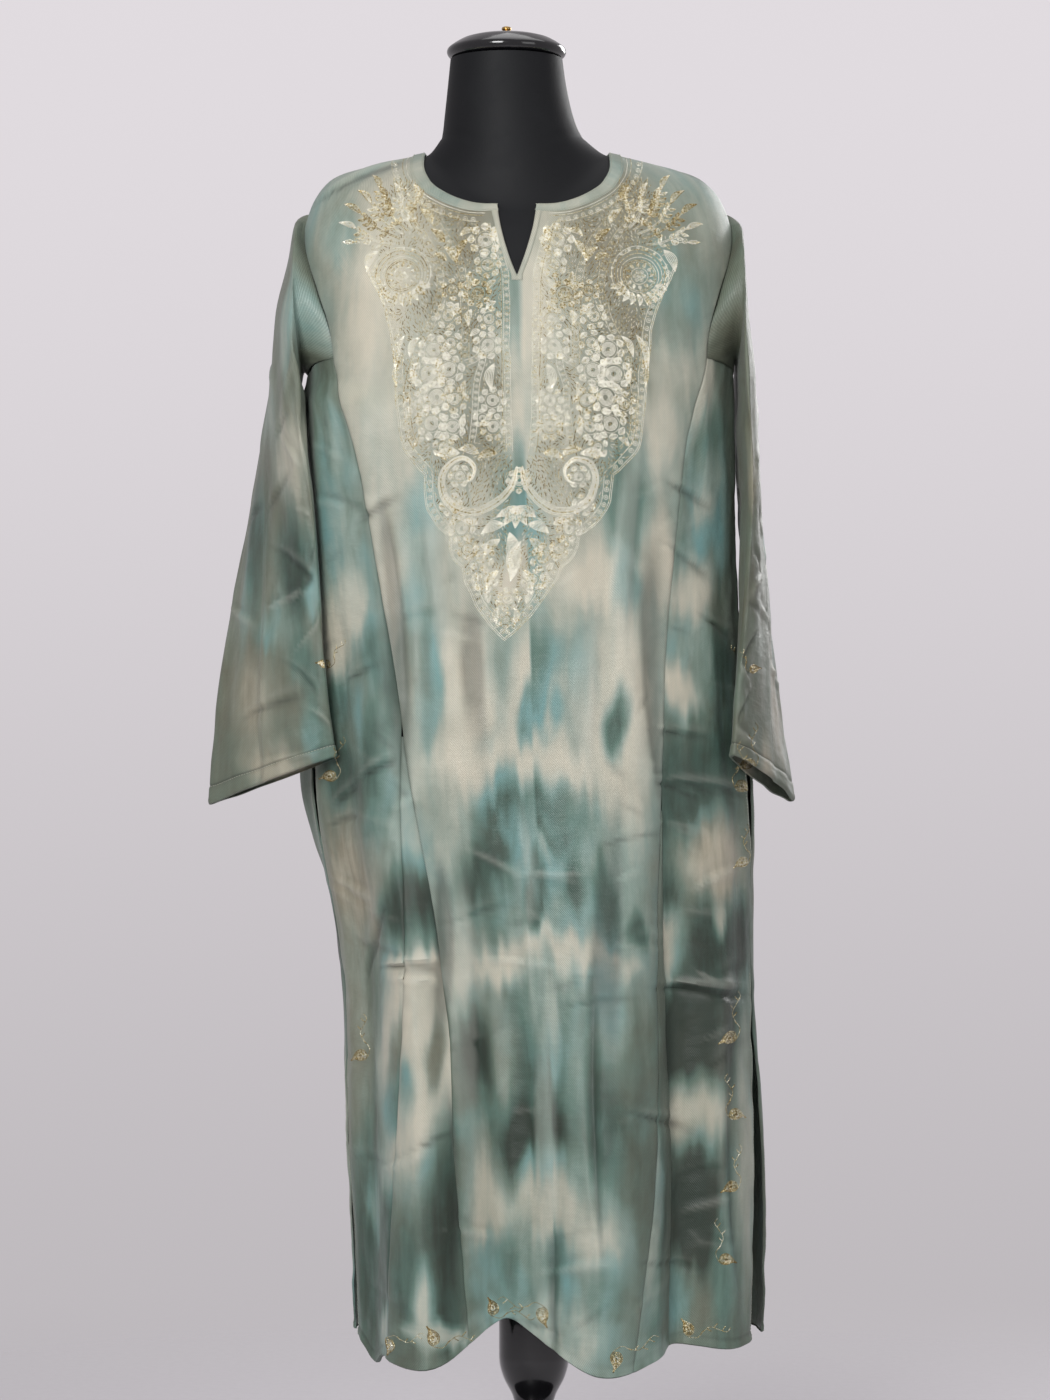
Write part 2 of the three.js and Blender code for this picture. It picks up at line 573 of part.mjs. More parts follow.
// A closed solid from rings of points, with a fan over each end. The rings turn the same way round and follow
// each other so that the faces look out.
function solidOf(rings) {
  const count = rings[0].length;
  const positions = rings.flat().map((p) => p.toArray());
  const index = [];
  for (let i = 0; i + 1 < rings.length; i++) {
    for (let j = 0; j < count; j++) {
      const k = (j + 1) % count;
      const [a, b] = [i * count + j, i * count + k];
      index.push(a, b, b + count, a, b + count, a + count);
    }
  }
  for (const [ring, first, flip] of [[rings[0], 0, true], [rings.at(-1), (rings.length - 1) * count, false]]) {
    const centre = ring.reduce((sum, p) => sum.add(p), new THREE.Vector3()).divideScalar(count);
    positions.push(centre.toArray());
    for (let j = 0; j < count; j++) {
      const pair = [first + j, first + ((j + 1) % count)];
      index.push(...(flip ? pair.reverse() : pair), positions.length - 1);
    }
  }
  const geometry = new THREE.BufferGeometry();
  geometry.setAttribute("position", new THREE.Float32BufferAttribute(positions.flat(), 3));
  geometry.setIndex(index);
  return geometry;
}

// A turned part from its profile of radius and height.
const turned = (profile, steps, across = 0) =>
  solidOf(
    profile.map(([radius, z]) =>
      Array.from({ length: steps }, (_, j) => {
        const angle = (j / steps) * Math.PI * 2;
        return new THREE.Vector3(across + radius * Math.cos(angle), radius * Math.sin(angle), z);
      }),
    ),
  );

function formBody() {
  const turns = Array.from({ length: FORM_STEPS }, (_, j) => (j / FORM_STEPS) * 360);
  const free = (rings) => rings.map((ring) => turns.map((turn) => ringPoint(ring, turn)));
  const rests = FORM_RESTS.map((down) => {
    const inset = CLOTH + mix(FORM_GAP, SHOULDER_GAP, smooth(SHOULDER_FROM, SHOULDER_TO, down));
    return turns.map((turn) => bodyVertex(turn, down, -inset).point);
  });
  return solidOf([...free(FORM_NECK), ...rests, ...free(FORM_TORSO)].reverse());
}

const group = new THREE.Group();
const cloth = new THREE.MeshStandardMaterial({ color: 0x9fb5ae, roughness: 0.62 });
const clothDark = new THREE.MeshStandardMaterial({ color: 0x6f8a80, roughness: 0.62 });
const trim = new THREE.MeshStandardMaterial({ color: 0xcbb98c, roughness: 0.5, metalness: 0.3 });
const formCover = new THREE.MeshStandardMaterial({ color: 0x17171a, roughness: 0.85 });
const lacquer = new THREE.MeshStandardMaterial({ color: 0x0b0b0c, roughness: 0.15 });
const brass = new THREE.MeshStandardMaterial({ color: 0xb08d4a, roughness: 0.3, metalness: 1 });

function piece(name, geometry, material) {
  const mesh = new THREE.Mesh(geometry, material);
  mesh.name = name;
  group.add(mesh);
}

piece("front_panel", frontPiece(panelRows, PANEL_COLUMNS, 0, CLOTH), cloth);
piece("back_panel", backPanel(), cloth);
piece("neck_band", neckBand(), trim);
const bindingRows = YOKE_ROWS.filter((down) => down >= NECK_BAND_DEPTH);
piece("slit_binding", frontPiece(bindingRows, 1, TRIM_LIFT + TRIM_WALL, TRIM_WALL), trim);
for (const side of ["left", "right"]) {
  for (const part of ["front", "back"]) {
    piece(part + "_gore_" + side, gore(side, part), clothDark);
    piece(part + "_godet_" + side, godet(side, part), cloth);
  }
  piece("sleeve_" + side, sleeve(side), cloth);
}
piece("form_body", formBody(), formCover);
piece("neck_cap", turned(CAP_PROFILE, CAP_STEPS, NECK_ACROSS), lacquer);
piece("finial", turned(FINIAL_PROFILE, FINIAL_STEPS, NECK_ACROSS), brass);
piece("post", turned(POST_PROFILE, CAP_STEPS), lacquer);
piece("base", turned(BASE_PROFILE, BASE_STEPS), lacquer);

export default group;
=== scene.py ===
"""A long tie-dyed tunic with gold yoke embroidery on a limbless dress form: its cloth, dye, sewing and stand.

Laid out as a Blender add-on and run as a script. The tables are in millimetres and degrees, as on a
maker's cutting sheet; Blender's own numbers are in metres. +Z is up and the front faces -Y.
"""

import math

import bpy
import numpy as np
from bpy.props import FloatProperty, FloatVectorProperty, PointerProperty
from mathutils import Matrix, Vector
from mathutils.bvhtree import BVHTree


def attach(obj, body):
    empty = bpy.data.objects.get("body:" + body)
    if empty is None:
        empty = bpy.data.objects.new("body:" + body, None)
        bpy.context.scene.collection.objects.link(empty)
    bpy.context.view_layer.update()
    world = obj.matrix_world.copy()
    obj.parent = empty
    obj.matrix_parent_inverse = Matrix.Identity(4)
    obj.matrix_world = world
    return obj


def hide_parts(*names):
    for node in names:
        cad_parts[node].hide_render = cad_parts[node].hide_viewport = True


bl_info = {
    "name": "Embroidered tunic on a dress form",
    "version": (1, 0, 0),
    "blender": (4, 5, 0),
    "location": "View3D > Sidebar > Tunic",
    "description": "Builds a tie-dyed, embroidered tunic, its dress form and a plain stage",
    "category": "Object",
}

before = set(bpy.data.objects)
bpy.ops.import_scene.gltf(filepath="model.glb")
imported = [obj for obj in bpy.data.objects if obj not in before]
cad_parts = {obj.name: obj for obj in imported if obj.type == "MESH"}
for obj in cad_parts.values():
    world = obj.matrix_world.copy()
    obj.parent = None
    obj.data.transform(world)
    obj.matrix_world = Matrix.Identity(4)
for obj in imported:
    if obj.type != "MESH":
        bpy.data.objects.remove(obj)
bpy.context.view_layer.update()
MM = 0.001

# Rings of the tunic's outer surface from the neckline to the hem: half the width, the depths to the front
# and the back, the middle across, the heights at the front, sides and back, and how square it is.
RINGS = np.array([
    [91, 84, 62, -17, 1358, 1421, 1413, 2.0],
    [136, 99, 79, -17, 1331, 1410, 1392, 2.1],
    [188, 113, 94, -17, 1297, 1392, 1350, 2.25],
    [213, 124, 103, -16, 1262, 1345, 1305, 2.35],
    [214, 132, 109, -15, 1222, 1285, 1262, 2.35],
    [213, 139, 113, -14, 1183, 1220, 1212, 2.3],
    [211, 143, 115, -11, 1112, 1132, 1128, 2.25],
    [210, 139, 118, -6, 950, 954, 956, 2.15],
    [218, 136, 126, -1, 782, 782, 784, 2.15],
    [205, 136, 132, 13, 608, 608, 610, 2.15],
    [206, 138, 136, 21, 430, 430, 432, 2.15],
    [203, 140, 138, 22, 246, 246, 248, 2.15],
])
HEM = len(RINGS) - 1
SHOULDER_END = 2.7
UNDERARM = 5
UNDERARM_SIDE = 5.3
SLIT_END = 2.3
SLIT_FOOT = 2.45
SLIT_HALF_TURN = 12
BAND_DEPTH = 0.35
BELOW = 99  # past the hem: a fold that ends here runs on into it
RING_MM = 184.0  # about how far apart the lowest rings are along the cloth
HEM_DEPTH = 15.0
STITCH_LINE = 13.6  # how far above the hem its stitches run

# Folds: turn at the top and the hem, the rings where one starts, is full and has gone, how far it stands
# out, half its width at the top and the hem, its lean and how far it drops the hem.
FOLDS = [
    (-35, -37, 5.6, 10.6, BELOW, 36, 8, 17, 13, 16), (-55, -66, 6.2, 9.5, BELOW, -9, 8, 9, 0, 22),
    (-11, -12, 7.2, 10.8, BELOW, -32, 13, 13, -6, -32), (22, 13, 6.6, 10.6, BELOW, 31, 9, 14, -10, 20),
    (38, 35, 6.4, 10.4, BELOW, -22, 6, 7, 0, -4), (52, 54, 7.0, 10.5, BELOW, 10, 9, 10, 0, 4),
    (-101, -101, 7.2, 7.9, 8.7, 17, 9, 9, 0, 0), (-121, -118, 6.0, 10.4, BELOW, -22, 9, 11, 0, -6),
    (-143, -146, 5.8, 10.6, BELOW, 30, 10, 14, -8, 12), (178, 176, 6.4, 10.8, BELOW, -28, 13, 14, 5, -14),
    (146, 142, 5.8, 10.6, BELOW, 32, 9, 14, 8, 13), (119, 114, 6.4, 10.4, BELOW, -20, 9, 10, 0, -6),
]
NECK_CUT_TURNS = [12, 16, 24, 34, 46, 58, 70, 80, 90]
NECK_CUT_DEPTHS = [0, 0.16, 0.36, 0.5, 0.57, 0.44, 0.22, 0.07, 0]
SEAMS = {
    "left_front": [-57, -47, -38, -30, -27, -26, -23],
    "right_front": [57, 47, 39, 34, 30, 26, 20],
    "left_back": [-123, -132, -140, -147, -150, -152, -154],
    "right_back": [123, 132, 140, 147, 150, 152, 154],
    "left_side": [-90, -84, -80, -79, -80, -84, -86],
    "right_side": [90, 84, 80, 79, 78, 80, 84],
}
LOWER_STEPS = 14
GODETS = {"left_front": (6, -51), "right_front": (7, 33), "left_back": (7, -130), "right_back": (7, 130)}
GODET_TIP = 0.2
# Side openings: the pocket's two ends and spreads, and the vent's start and spreads, front then back.
SIDE_OPENINGS = {
    "left": (7.35, 8.45, 4.4, 3.6, 9.35, 4, 5),
    "right": (7.4, 8.5, 3.8, 3.2, 8.95, 16, 0.5),
}
ARMHOLE_ROWS = [SHOULDER_END, 2.95, 3.22, 3.5, 3.78, 4.06, 4.36, 4.68, UNDERARM]
GORE_COLUMNS = 6
CORNER_TURN = 140
# Sleeve sections: height, across, ahead, half flat width, half thickness, turn, outer rise, front rise.
SLEEVES = {
    "left": [
        (1277, -234, 0, 66, 4, 0, 75, 0), (1251, -239, -2, 74, 7, 3, 61, 0),
        (1224, -245, -4, 80, 11, 6, 44, 0), (1195, -245, -7, 84, 14, 9, 27, 0),
        (1147, -249, -12, 85, 15, 14, 12, 0), (1070, -252, -21, 84, 14, 24, 3, 0),
        (975, -256, -33, 80, 13, 36, 0, 3), (875, -260, -44, 76, 13, 48, 0, 11),
        (795, -258, -53, 71, 14, 64, 0, 24),
    ],
    "right": [
        (1280, 204, 0, 67, 3, 0, 68, 0), (1252, 206, -1, 74, 4, 0, 57, 0),
        (1223, 207, -2, 80, 5, 0, 42, 0), (1194, 209, -4, 84, 7, 0, 26, 0),
        (1147, 211, -6, 85, 9, 0, 12, 0), (1070, 215, -10, 84, 11, 1, 3, 0),
        (975, 220, -21, 80, 12, 9, 0, 3), (875, 222, -38, 76, 11, 18, 0, 11),
        (797, 226, -46, 71, 12, 27, 0, 24),
    ],
}

# The form: its neck's rings above the cloth, the tunic's rings it follows, and its torso's rings below.
FORM_NECK = np.array([
    [56, 57, 57, -27.5, 1515, 1515, 1515, 2.0],
    [59, 60, 59, -27, 1490, 1490, 1490, 2.0],
    [64.5, 66, 62, -25, 1455, 1457, 1458, 2.0],
    [69, 71, 60, -22.5, 1424, 1440, 1442, 2.0],
    [79, 75, 58, -19.5, 1385, 1427, 1425, 2.0],
])
FORM_RESTS = [0, 0.4, 0.8, 1.3, 1.8, 2.15]
FORM_TORSO = np.array([
    [199, 112, 92, -16, 1262, 1341, 1300, 2.2],
    [193, 118, 96, -15, 1215, 1286, 1250, 2.1],
    [180, 124, 98, -14, 1165, 1222, 1195, 2.0],
    [163, 127, 96, -12, 1110, 1128, 1120, 2.0],
    [145, 110, 90, -10, 1045, 1050, 1050, 2.0],
    [126, 92, 82, -8, 965, 965, 965, 2.0],
    [147, 104, 98, -5, 875, 875, 875, 2.0],
    [170, 110, 105, -3, 785, 785, 785, 2.05],
    [170, 106, 102, -2, 722, 722, 722, 2.05],
    [164, 101, 97, -2, 714, 714, 714, 2.05],
])
NECK_ACROSS = -27.5
BASE_PROFILE = [(0, 0), (202, 0), (205, 1.5), (205, 6), (203.5, 9.4), (200, 11), (60, 21), (48, 22), (0, 22)]
POST_PROFILE = [
    (0, 22.3), (44, 22.3), (44, 31), (38, 36), (29, 40), (23, 58), (18.5, 95), (17.5, 135), (18.5, 170),
    (22, 182), (30, 196), (34, 208), (35, 216), (35, 258), (34, 268), (31, 292), (27, 318), (24, 336),
    (29, 341), (31, 347), (29, 353), (22, 358), (21, 400), (21, 713.7), (0, 713.7),
]
CAP_PROFILE = [
    (0, 1515.3), (53, 1515.3), (58, 1518), (60, 1522), (59, 1526), (52, 1531), (44, 1535.5), (33, 1538.5),
    (22, 1540), (9, 1540.6), (0, 1540.6),
]
FINIAL_PROFILE = [
    (0, 1540.9), (6, 1540.9), (6, 1542), (3.5, 1543), (3.5, 1544), (5, 1545.5), (4.5, 1547.5), (2, 1548.5),
    (0, 1548.5),
]


def clamp01(value):
    return np.clip(value, 0.0, 1.0)


def smooth(low, high, value):
    """From 0 at low to 1 at high, easing in and out."""
    t = clamp01((np.asarray(value, float) - low) / (high - low))
    return t * t * (3 - 2 * t)


def mix(a, b, t):
    return a + (b - a) * t


def wrapped(turn):
    """The same turn, from -180 to 180 degrees."""
    return (turn + 540) % 360 - 180


def run_along(points):
    """How far along a line of points each one lies."""
    return np.concatenate([[0], np.cumsum(np.linalg.norm(np.diff(points, axis=0), axis=-1))])


def closed_round(grid):
    """A grid with its first column once more at its end."""
    return np.concatenate([grid, grid[:, :1]], axis=1)


def signed_power(value, power):
    return np.sign(value) * np.abs(value) ** power


def ring_point(table, index, turn):
    """Points of rings picked by index, at turns round from the front."""
    ring = table[np.clip(index, 0, len(table) - 1)]
    s = np.sin(np.radians(turn))
    c = np.cos(np.radians(turn))
    depth = np.where(c > 0, ring[..., 1], ring[..., 2])
    end = np.where(c > 0, ring[..., 4], ring[..., 6])
    power = 2 / ring[..., 7]
    x = ring[..., 3] + ring[..., 0] * signed_power(s, power)
    y = -depth * signed_power(c, power)
    z = ring[..., 5] * s * s + end * c * c
    return np.stack([x, y, z], -1)


def through(a, b, c, d, t):
    """A smooth curve through four values, between the middle two."""
    return 0.5 * (2 * b + (c - a) * t + (2 * a - 5 * b + 4 * c - d) * t**2 + (3 * b - a - 3 * c + d) * t**3)


def plain_body(turn, down):
    """The tunic's outer surface without its folds."""
    k = np.clip(np.floor(down), 0, HEM - 1).astype(int)
    near = [ring_point(RINGS, k + i, turn) for i in (-1, 0, 1, 2)]
    return through(*near, (down - k)[..., None])


def folds_at(turn, down):
    """What the folds add: how far out, how far round and how far down."""
    out = np.zeros_like(turn)
    lean = np.zeros_like(turn)
    dip = np.zeros_like(turn)
    for top, hem, starts, full, ends, high, top_wide, hem_wide, leans, dips in FOLDS:
        along = clamp01((down - starts) / (HEM - starts))
        share = smooth(starts, full, down) * (1 - smooth(full, ends, down))
        offset = wrapped(turn - mix(top, hem, along))
        bump = share * np.exp(-((offset / mix(top_wide, hem_wide, along)) ** 2))
        out += high * bump
        lean += leans * bump * along
        dip += dips * bump * along**2
    return out, lean, dip


def body(turn, down):
    """The tunic's outer surface with its folds, at turns and ring positions."""
    turn, down = np.broadcast_arrays(np.asarray(turn, float), np.asarray(down, float))
    point = plain_body(turn, down)
    ahead = plain_body(turn + 1, down) - plain_body(turn - 1, down)
    ahead[..., 2] = 0
    ahead /= np.linalg.norm(ahead, axis=-1, keepdims=True)
    outward = np.stack([ahead[..., 1], -ahead[..., 0], np.zeros_like(turn)], -1)
    out, lean, dip = folds_at(turn, down)
    point = point + outward * out[..., None] + ahead * lean[..., None]
    point[..., 2] -= dip
    return point


def unit(vectors):
    return vectors / np.maximum(np.linalg.norm(vectors, axis=-1, keepdims=True), 1e-9)


def body_normal(turn, down):
    """The outward normal of the tunic's surface."""
    down = np.clip(down, 0.02, HEM - 0.02)
    round_step = body(turn + 0.4, down) - body(turn - 0.4, down)
    down_step = body(turn, down + 0.02) - body(turn, down - 0.02)
    return unit(np.cross(down_step, round_step))


def seam_turn(seam, down):
    """Where a seam below the underarm runs, as a turn at each ring position."""
    values = np.array(SEAMS[seam], float)
    last = len(values) - 1
    along = np.clip(np.asarray(down, float) - 5, 0, last)
    k = np.minimum(np.floor(along), last - 1).astype(int)
    near = [values[np.clip(k + i, 0, last)] for i in (-1, 0, 1, 2)]
    return through(*near, along - k)


def armhole_turn(seam, down):
    """Where the armhole cuts the front or back panel, from the shoulder to the underarm."""
    corner = SEAMS[seam][0]
    along = clamp01((np.asarray(down, float) - SHOULDER_END) / (UNDERARM - SHOULDER_END))
    return mix(math.copysign(90, corner), corner, np.sin(along * math.pi / 2) ** 1.25)


def per_degree(turn, down):
    return np.linalg.norm(body(turn + 0.5, down) - body(turn - 0.5, down), axis=-1)


def moved(turn, down, millimetres):
    """A turn moved so many millimetres round the body."""
    return turn + millimetres / per_degree(turn, down)


def panel_edge(seam, down, gap):
    """The edge of the front or back panel, kept clear of its neighbour by half the gap."""
    sign = math.copysign(1, SEAMS[seam][0])
    middle = 0 if seam.endswith("front") else sign * 180
    turn = np.where(down > SHOULDER_END, armhole_turn(seam, down), sign * 90)
    turn = np.where(down >= UNDERARM, seam_turn(seam, down), turn)
    return moved(turn, down, np.sign(middle - turn) * gap / 2)


def neck_cut(turn):
    """How far below the first ring the neckline is cut, eased over a few degrees."""
    at = [np.interp(np.abs(turn) + d, NECK_CUT_TURNS, NECK_CUT_DEPTHS) for d in (-3, -1.5, 0, 1.5, 3)]
    return sum(at) / len(at)


def below_neck(turn, row):
    """Ring positions of rows that follow the neckline and even out by the slit's foot."""
    return np.where(row >= SLIT_FOOT, row, row + neck_cut(turn) * (1 - row / SLIT_FOOT))


def slit_half_turn(down):
    """Half the slit as a turn: it narrows from the neckline to its foot, with nearly straight edges."""
    down = np.asarray(down, float)
    turns = np.linspace(0, SLIT_HALF_TURN + 4, 33)
    reach = np.linalg.norm(body(turns, down[:, None]) - body(0 * turns, down[:, None]), axis=-1)
    widest = float(np.linalg.norm(body(SLIT_HALF_TURN, 0) - body(0, 0)))
    wanted = widest * (1 - clamp01(down / SLIT_END) ** 1.7)
    return np.array([np.interp(half, row, turns) for half, row in zip(wanted, reach)])


def lower_row(start, step):
    return mix(start, HEM, step / LOWER_STEPS)


def outwards_from(side, part):
    return 1 if (side == "left") == (part == "front") else -1


def opening_at(side, part, down):
    """How many degrees a side opening stands back from the side seam's line."""
    start, end, pocket_front, pocket_back, vent, vent_front, vent_back = SIDE_OPENINGS[side]
    lens = np.sin(math.pi * clamp01((down - start) / (end - start)))
    spread = smooth(vent, HEM, down) ** 0.7
    if part == "front":
        return pocket_front * lens**2 + vent_front * spread
    return pocket_back * lens**2 + vent_back * spread


def side_turn(side, part, down):
    """The side edge of a gore, which runs along the pocket's opening and the vent."""
    return seam_turn(side + "_side", down) + outwards_from(side, part) * opening_at(side, part, down)


def godet_turn(side, part, down):
    """The seam between a godet and its gore."""
    step, hem_turn = GODETS[side + "_" + part]
    starts = lower_row(UNDERARM, step)
    seam = side + "_" + part
    along = clamp01((down - starts) / (HEM - starts))
    return seam_turn(seam, down) + (hem_turn - seam_turn(seam, HEM)) * along


def lattice_noise(u, v, seed):
    """Smooth noise from -1 to 1 that changes over about one unit of u and v."""
    grid = np.random.default_rng(seed).uniform(-1, 1, (64, 64))
    iu = np.floor(u).astype(int)
    iv = np.floor(v).astype(int)
    fu = u - iu
    fv = v - iv
    fu = fu * fu * (3 - 2 * fu)
    fv = fv * fv * (3 - 2 * fv)
    a = grid[iu % 64, iv % 64]
    b = grid[(iu + 1) % 64, iv % 64]
    c = grid[iu % 64, (iv + 1) % 64]
    d = grid[(iu + 1) % 64, (iv + 1) % 64]
    return mix(mix(a, b, fu), mix(c, d, fu), fv)


# Creases of the hanging cloth: where the middle lies across and up, half the length, half
# the width, the slope in degrees, the height (below 0 a trough) and how much a ridge is paired with it.
FRONT_CREASES = [
    (-119, 618, 27, 5, 3, -4.0, 0.9), (163, 592, 42, 6, -9, -4.5, 0.9), (-38, 719, 27, 5, -27, 2.0, 0.2),
    (14, 705, 24, 5, -6, 1.8, 0.2), (-9, 739, 5, 30, 8, 1.4, 0.0), (-152, 808, 18, 5, 28, -3.0, 0.7),
    (-182, 783, 16, 5, 42, -2.6, 0.6), (-186, 758, 15, 4, 20, -2.2, 0.6), (142, 842, 27, 5, -8, -2.2, 0.8),
    (162, 790, 42, 6, -11, -3.2, 0.8), (146, 752, 24, 5, -14, 1.4, 0.3), (-96, 1010, 9, 70, 6, 2.6, 0.0),
    (88, 1035, 9, 80, -5, 2.4, 0.0), (-60, 905, 11, 60, 3, -2.0, 0.0), (48, 880, 12, 70, -3, 2.0, 0.0),
    (-70, 560, 12, 90, 2, 2.2, 0.0), (72, 640, 12, 90, -2, -2.0, 0.0), (10, 470, 9, 80, 1, 2.2, 0.0),
    (118, 470, 30, 5, -22, -2.4, 0.6), (-125, 430, 26, 5, 24, 1.8, 0.4), (-150, 1060, 20, 6, 34, -2.2, 0.5),
    (150, 1075, 24, 6, -30, -2.4, 0.5), (150, 1010, 26, 6, -38, -2.2, 0.5), (175, 700, 22, 6, 24, 2.0, 0.4),
    (-178, 690, 20, 6, -30, 2.0, 0.4), (40, 330, 34, 7, 12, 2.0, 0.3), (170, 385, 26, 6, 14, 1.8, 0.3),
    (-172, 1392, 42, 4.5, 26, -13.0, 0.7), (172, 1392, 36, 4.5, -26, -9.0, 0.6),
    (-84, 640, 70, 9, -88, -3.0, 0.5), (54, 520, 165, 8, 90, -2.8, 0.6), (-74, 385, 110, 8, -90, -2.6, 0.5),
    (-5, 655, 75, 8, 90, 2.2, 0.4), (16, 310, 60, 8.5, 90, -3.0, 0.6), (193, 450, 140, 8, 90, -3.0, 0.6),
    (-156, 641, 46, 5, 76, -2.8, 0.6), (-131, 940, 120, 9, -86, -2.6, 0.6),
    (112, 900, 110, 9, 92, -2.4, 0.6), (168, 606, 13, 4, -32, 2.2, 0.5), (140, 787, 20, 4, -24, -2.6, 0.6),
    (182, 785, 22, 4, -22, 2.2, 0.5), (-112, 606, 24, 3.6, -4, 2.6, 0.3), (22, 709, 26, 3.6, -2, 1.8, 0.3),
    (-60, 668, 30, 4, 18, -1.6, 0.5), (92, 742, 26, 4, 10, -1.6, 0.5), (-20, 622, 40, 4.4, -6, 1.5, 0.5),
    (60, 585, 34, 4.4, 8, -1.6, 0.5), (-168, 900, 18, 4, 30, -2.2, 0.6), (178, 948, 20, 4, -34, -2.2, 0.6),
    (-96, 452, 22, 4, 20, -1.8, 0.6), (128, 330, 26, 4, -14, -1.8, 0.6), (-60, 360, 26, 6, -16, 1.6, 0.3),
]
BACK_CREASES = [
    (-20, 1120, 60, 7, 8, -2.4, 0.6), (30, 1050, 52, 7, -10, -2.2, 0.6), (-60, 990, 40, 7, 16, -2.6, 0.6),
    (60, 940, 44, 7, -14, 2.2, 0.4), (-10, 880, 60, 8, 4, -2.4, 0.6), (-120, 820, 34, 6, 24, -2.8, 0.7),
    (130, 800, 36, 6, -20, -2.8, 0.7), (-90, 1230, 12, 60, 14, 2.0, 0.0), (70, 1220, 12, 60, -12, 2.0, 0.0),
    (0, 700, 12, 110, 2, 2.4, 0.0), (-110, 620, 30, 6, 14, 2.0, 0.5), (120, 560, 34, 6, -12, -2.4, 0.6),
    (-40, 480, 12, 90, -3, 2.2, 0.0), (60, 400, 30, 6, 18, 1.8, 0.4), (-140, 420, 26, 6, -20, 1.8, 0.4),
]


CREASE_DEPTH = 1.7
SHARP_DEPTH = 1.15
SHARP_UNDER = 9.0  # creases of a smaller half width than this are pressed in sharply
SHARPER = 0.6
CREASE_BEND = 0.05


def crease_sum(rows, x, z):
    """Height of all the creases: each bends a little, widens to one end and has a soft shoulder beside it."""
    total = np.zeros_like(x)
    for cx, cz, half_length, half_width, slope, height, pair in rows:
        c = math.cos(math.radians(slope))
        s = math.sin(math.radians(slope))
        along = (x - cx) * c + (z - cz) * s
        across = (z - cz) * c - (x - cx) * s
        across = across + CREASE_BEND * along**2 / half_length
        taper = np.exp(-((along / half_length) ** 4))
        sharp = half_width < SHARP_UNDER
        width = half_width * (SHARPER if sharp else 1.0) * np.clip(1 + 0.35 * along / half_length, 0.6, 1.5)
        depth = SHARP_DEPTH if sharp else CREASE_DEPTH
        ridge = np.exp(-np.abs(across / width) ** (1.6 if sharp else 2.0))
        shoulder = np.exp(-(((across - 1.9 * width) / (1.3 * width)) ** 2))
        total += depth * height * taper * (ridge - pair * 0.7 * shoulder)
    return total


def light_creases(seed, count):
    """Short shallow creases, scattered as worn cloth has them, in rows like those above."""
    rng = np.random.default_rng(seed)
    rows = []
    for _ in range(count):
        place = (rng.uniform(-200, 200), rng.uniform(270, 1180))
        size = (rng.uniform(9, 26), rng.uniform(3.6, 6.5))
        rows.append((*place, *size, rng.uniform(-48, 48), rng.choice([-1, 1]) * rng.uniform(0.45, 1.15), 0.5))
    return rows


FRONT_CREASES += light_creases(51, 84)
BACK_CREASES += light_creases(52, 84)


# The cloth stands out under the left arm: the turn, half the spread and how far.
LEFT_FULLNESS = [(88, 27, 7.0), (52, 18, 10.0)]
ON_FORM = -0.9  # the deepest a crease goes where the cloth rests on the form, and where it hangs free
OFF_FORM = -9.0


def body_relief(turn, down, point):
    """How far folds and creases stand off the ring surface, in millimetres, and the creases alone."""
    x = point[..., 0]
    y = point[..., 1]
    z = point[..., 2]
    front = smooth(15, -25, y)
    free = smooth(3.0, 6.0, down)
    relief = crease_sum(FRONT_CREASES, x, z) * front + crease_sum(BACK_CREASES, x, z) * (1 - front)
    relief *= mix(0.35, 1.0, free)
    drape = lattice_noise(turn / 9.0, z / 260.0, 11) * 2.8 + lattice_noise(turn / 4.0, z / 140.0, 12) * 1.1
    drape = drape * (1 + 0.5 * smooth(700, 450, z))
    crumple = lattice_noise(turn / 5.0, z / 26.0, 13) * 0.9
    fullness = sum(
        far * np.exp(-((wrapped(turn + middle) / spread) ** 4)) for middle, spread, far in LEFT_FULLNESS
    )
    fullness = fullness * smooth(5.2, 5.7, down) * smooth(8.6, 6.7, down)
    total = relief + (drape + crumple) * free + fullness
    return np.maximum(total, mix(ON_FORM, OFF_FORM, smooth(2.0, 3.4, down))), relief


def seam_dip(distance, along, seed):
    """A sewn edge: the cloth rolls down into its seam and puckers a little beside it."""
    pucker = lattice_noise(along / 7.0, along * 0, seed) * 0.45
    return -0.95 * np.exp(-distance / 1.3) + pucker * np.exp(-distance / 9.0) * smooth(0, 3, distance)


def hem_step(distance):
    """A turned hem: twice the cloth below its line of stitches, and a rounded edge."""
    raised = 0.7 * smooth(HEM_DEPTH + 1.2, HEM_DEPTH - 1.2, distance)
    groove = -0.8 * np.exp(-(((distance - HEM_DEPTH) / 1.2) ** 2))
    rolled = 0.6 * np.exp(-(((distance - 3.0) / 2.4) ** 2))
    return raised + groove + rolled - 0.9 * np.exp(-distance / 0.8)


EDGE_ROWS = np.array([0.0, 1.3, 3.2, 6.2])
HEM_ROWS = np.array([0.0, 1.2, 3.0, 6.0, 10.0, 13.0, 14.2, 15.0, 15.8, 17.2, 21.0])
NO_ROWS = np.array([])


def edge_columns(width, count, fine):
    """Distances across a row: fine steps beside a sewn edge where asked at either end, even ones between."""
    start = EDGE_ROWS if fine[0] else EDGE_ROWS[:1]
    end = EDGE_ROWS if fine[1] else EDGE_ROWS[:1]
    middle = count - len(start) - len(end)
    share = np.arange(1, middle + 1) / (middle + 1)
    width = np.asarray(width)[..., None]
    shrink = np.minimum(1.0, width / 26.0)
    low = start * shrink
    high = width - end[::-1] * shrink
    between = low[..., -1:] + (high[..., :1] - low[..., -1:]) * share
    return np.concatenate([low * np.ones_like(width), between, high], -1)


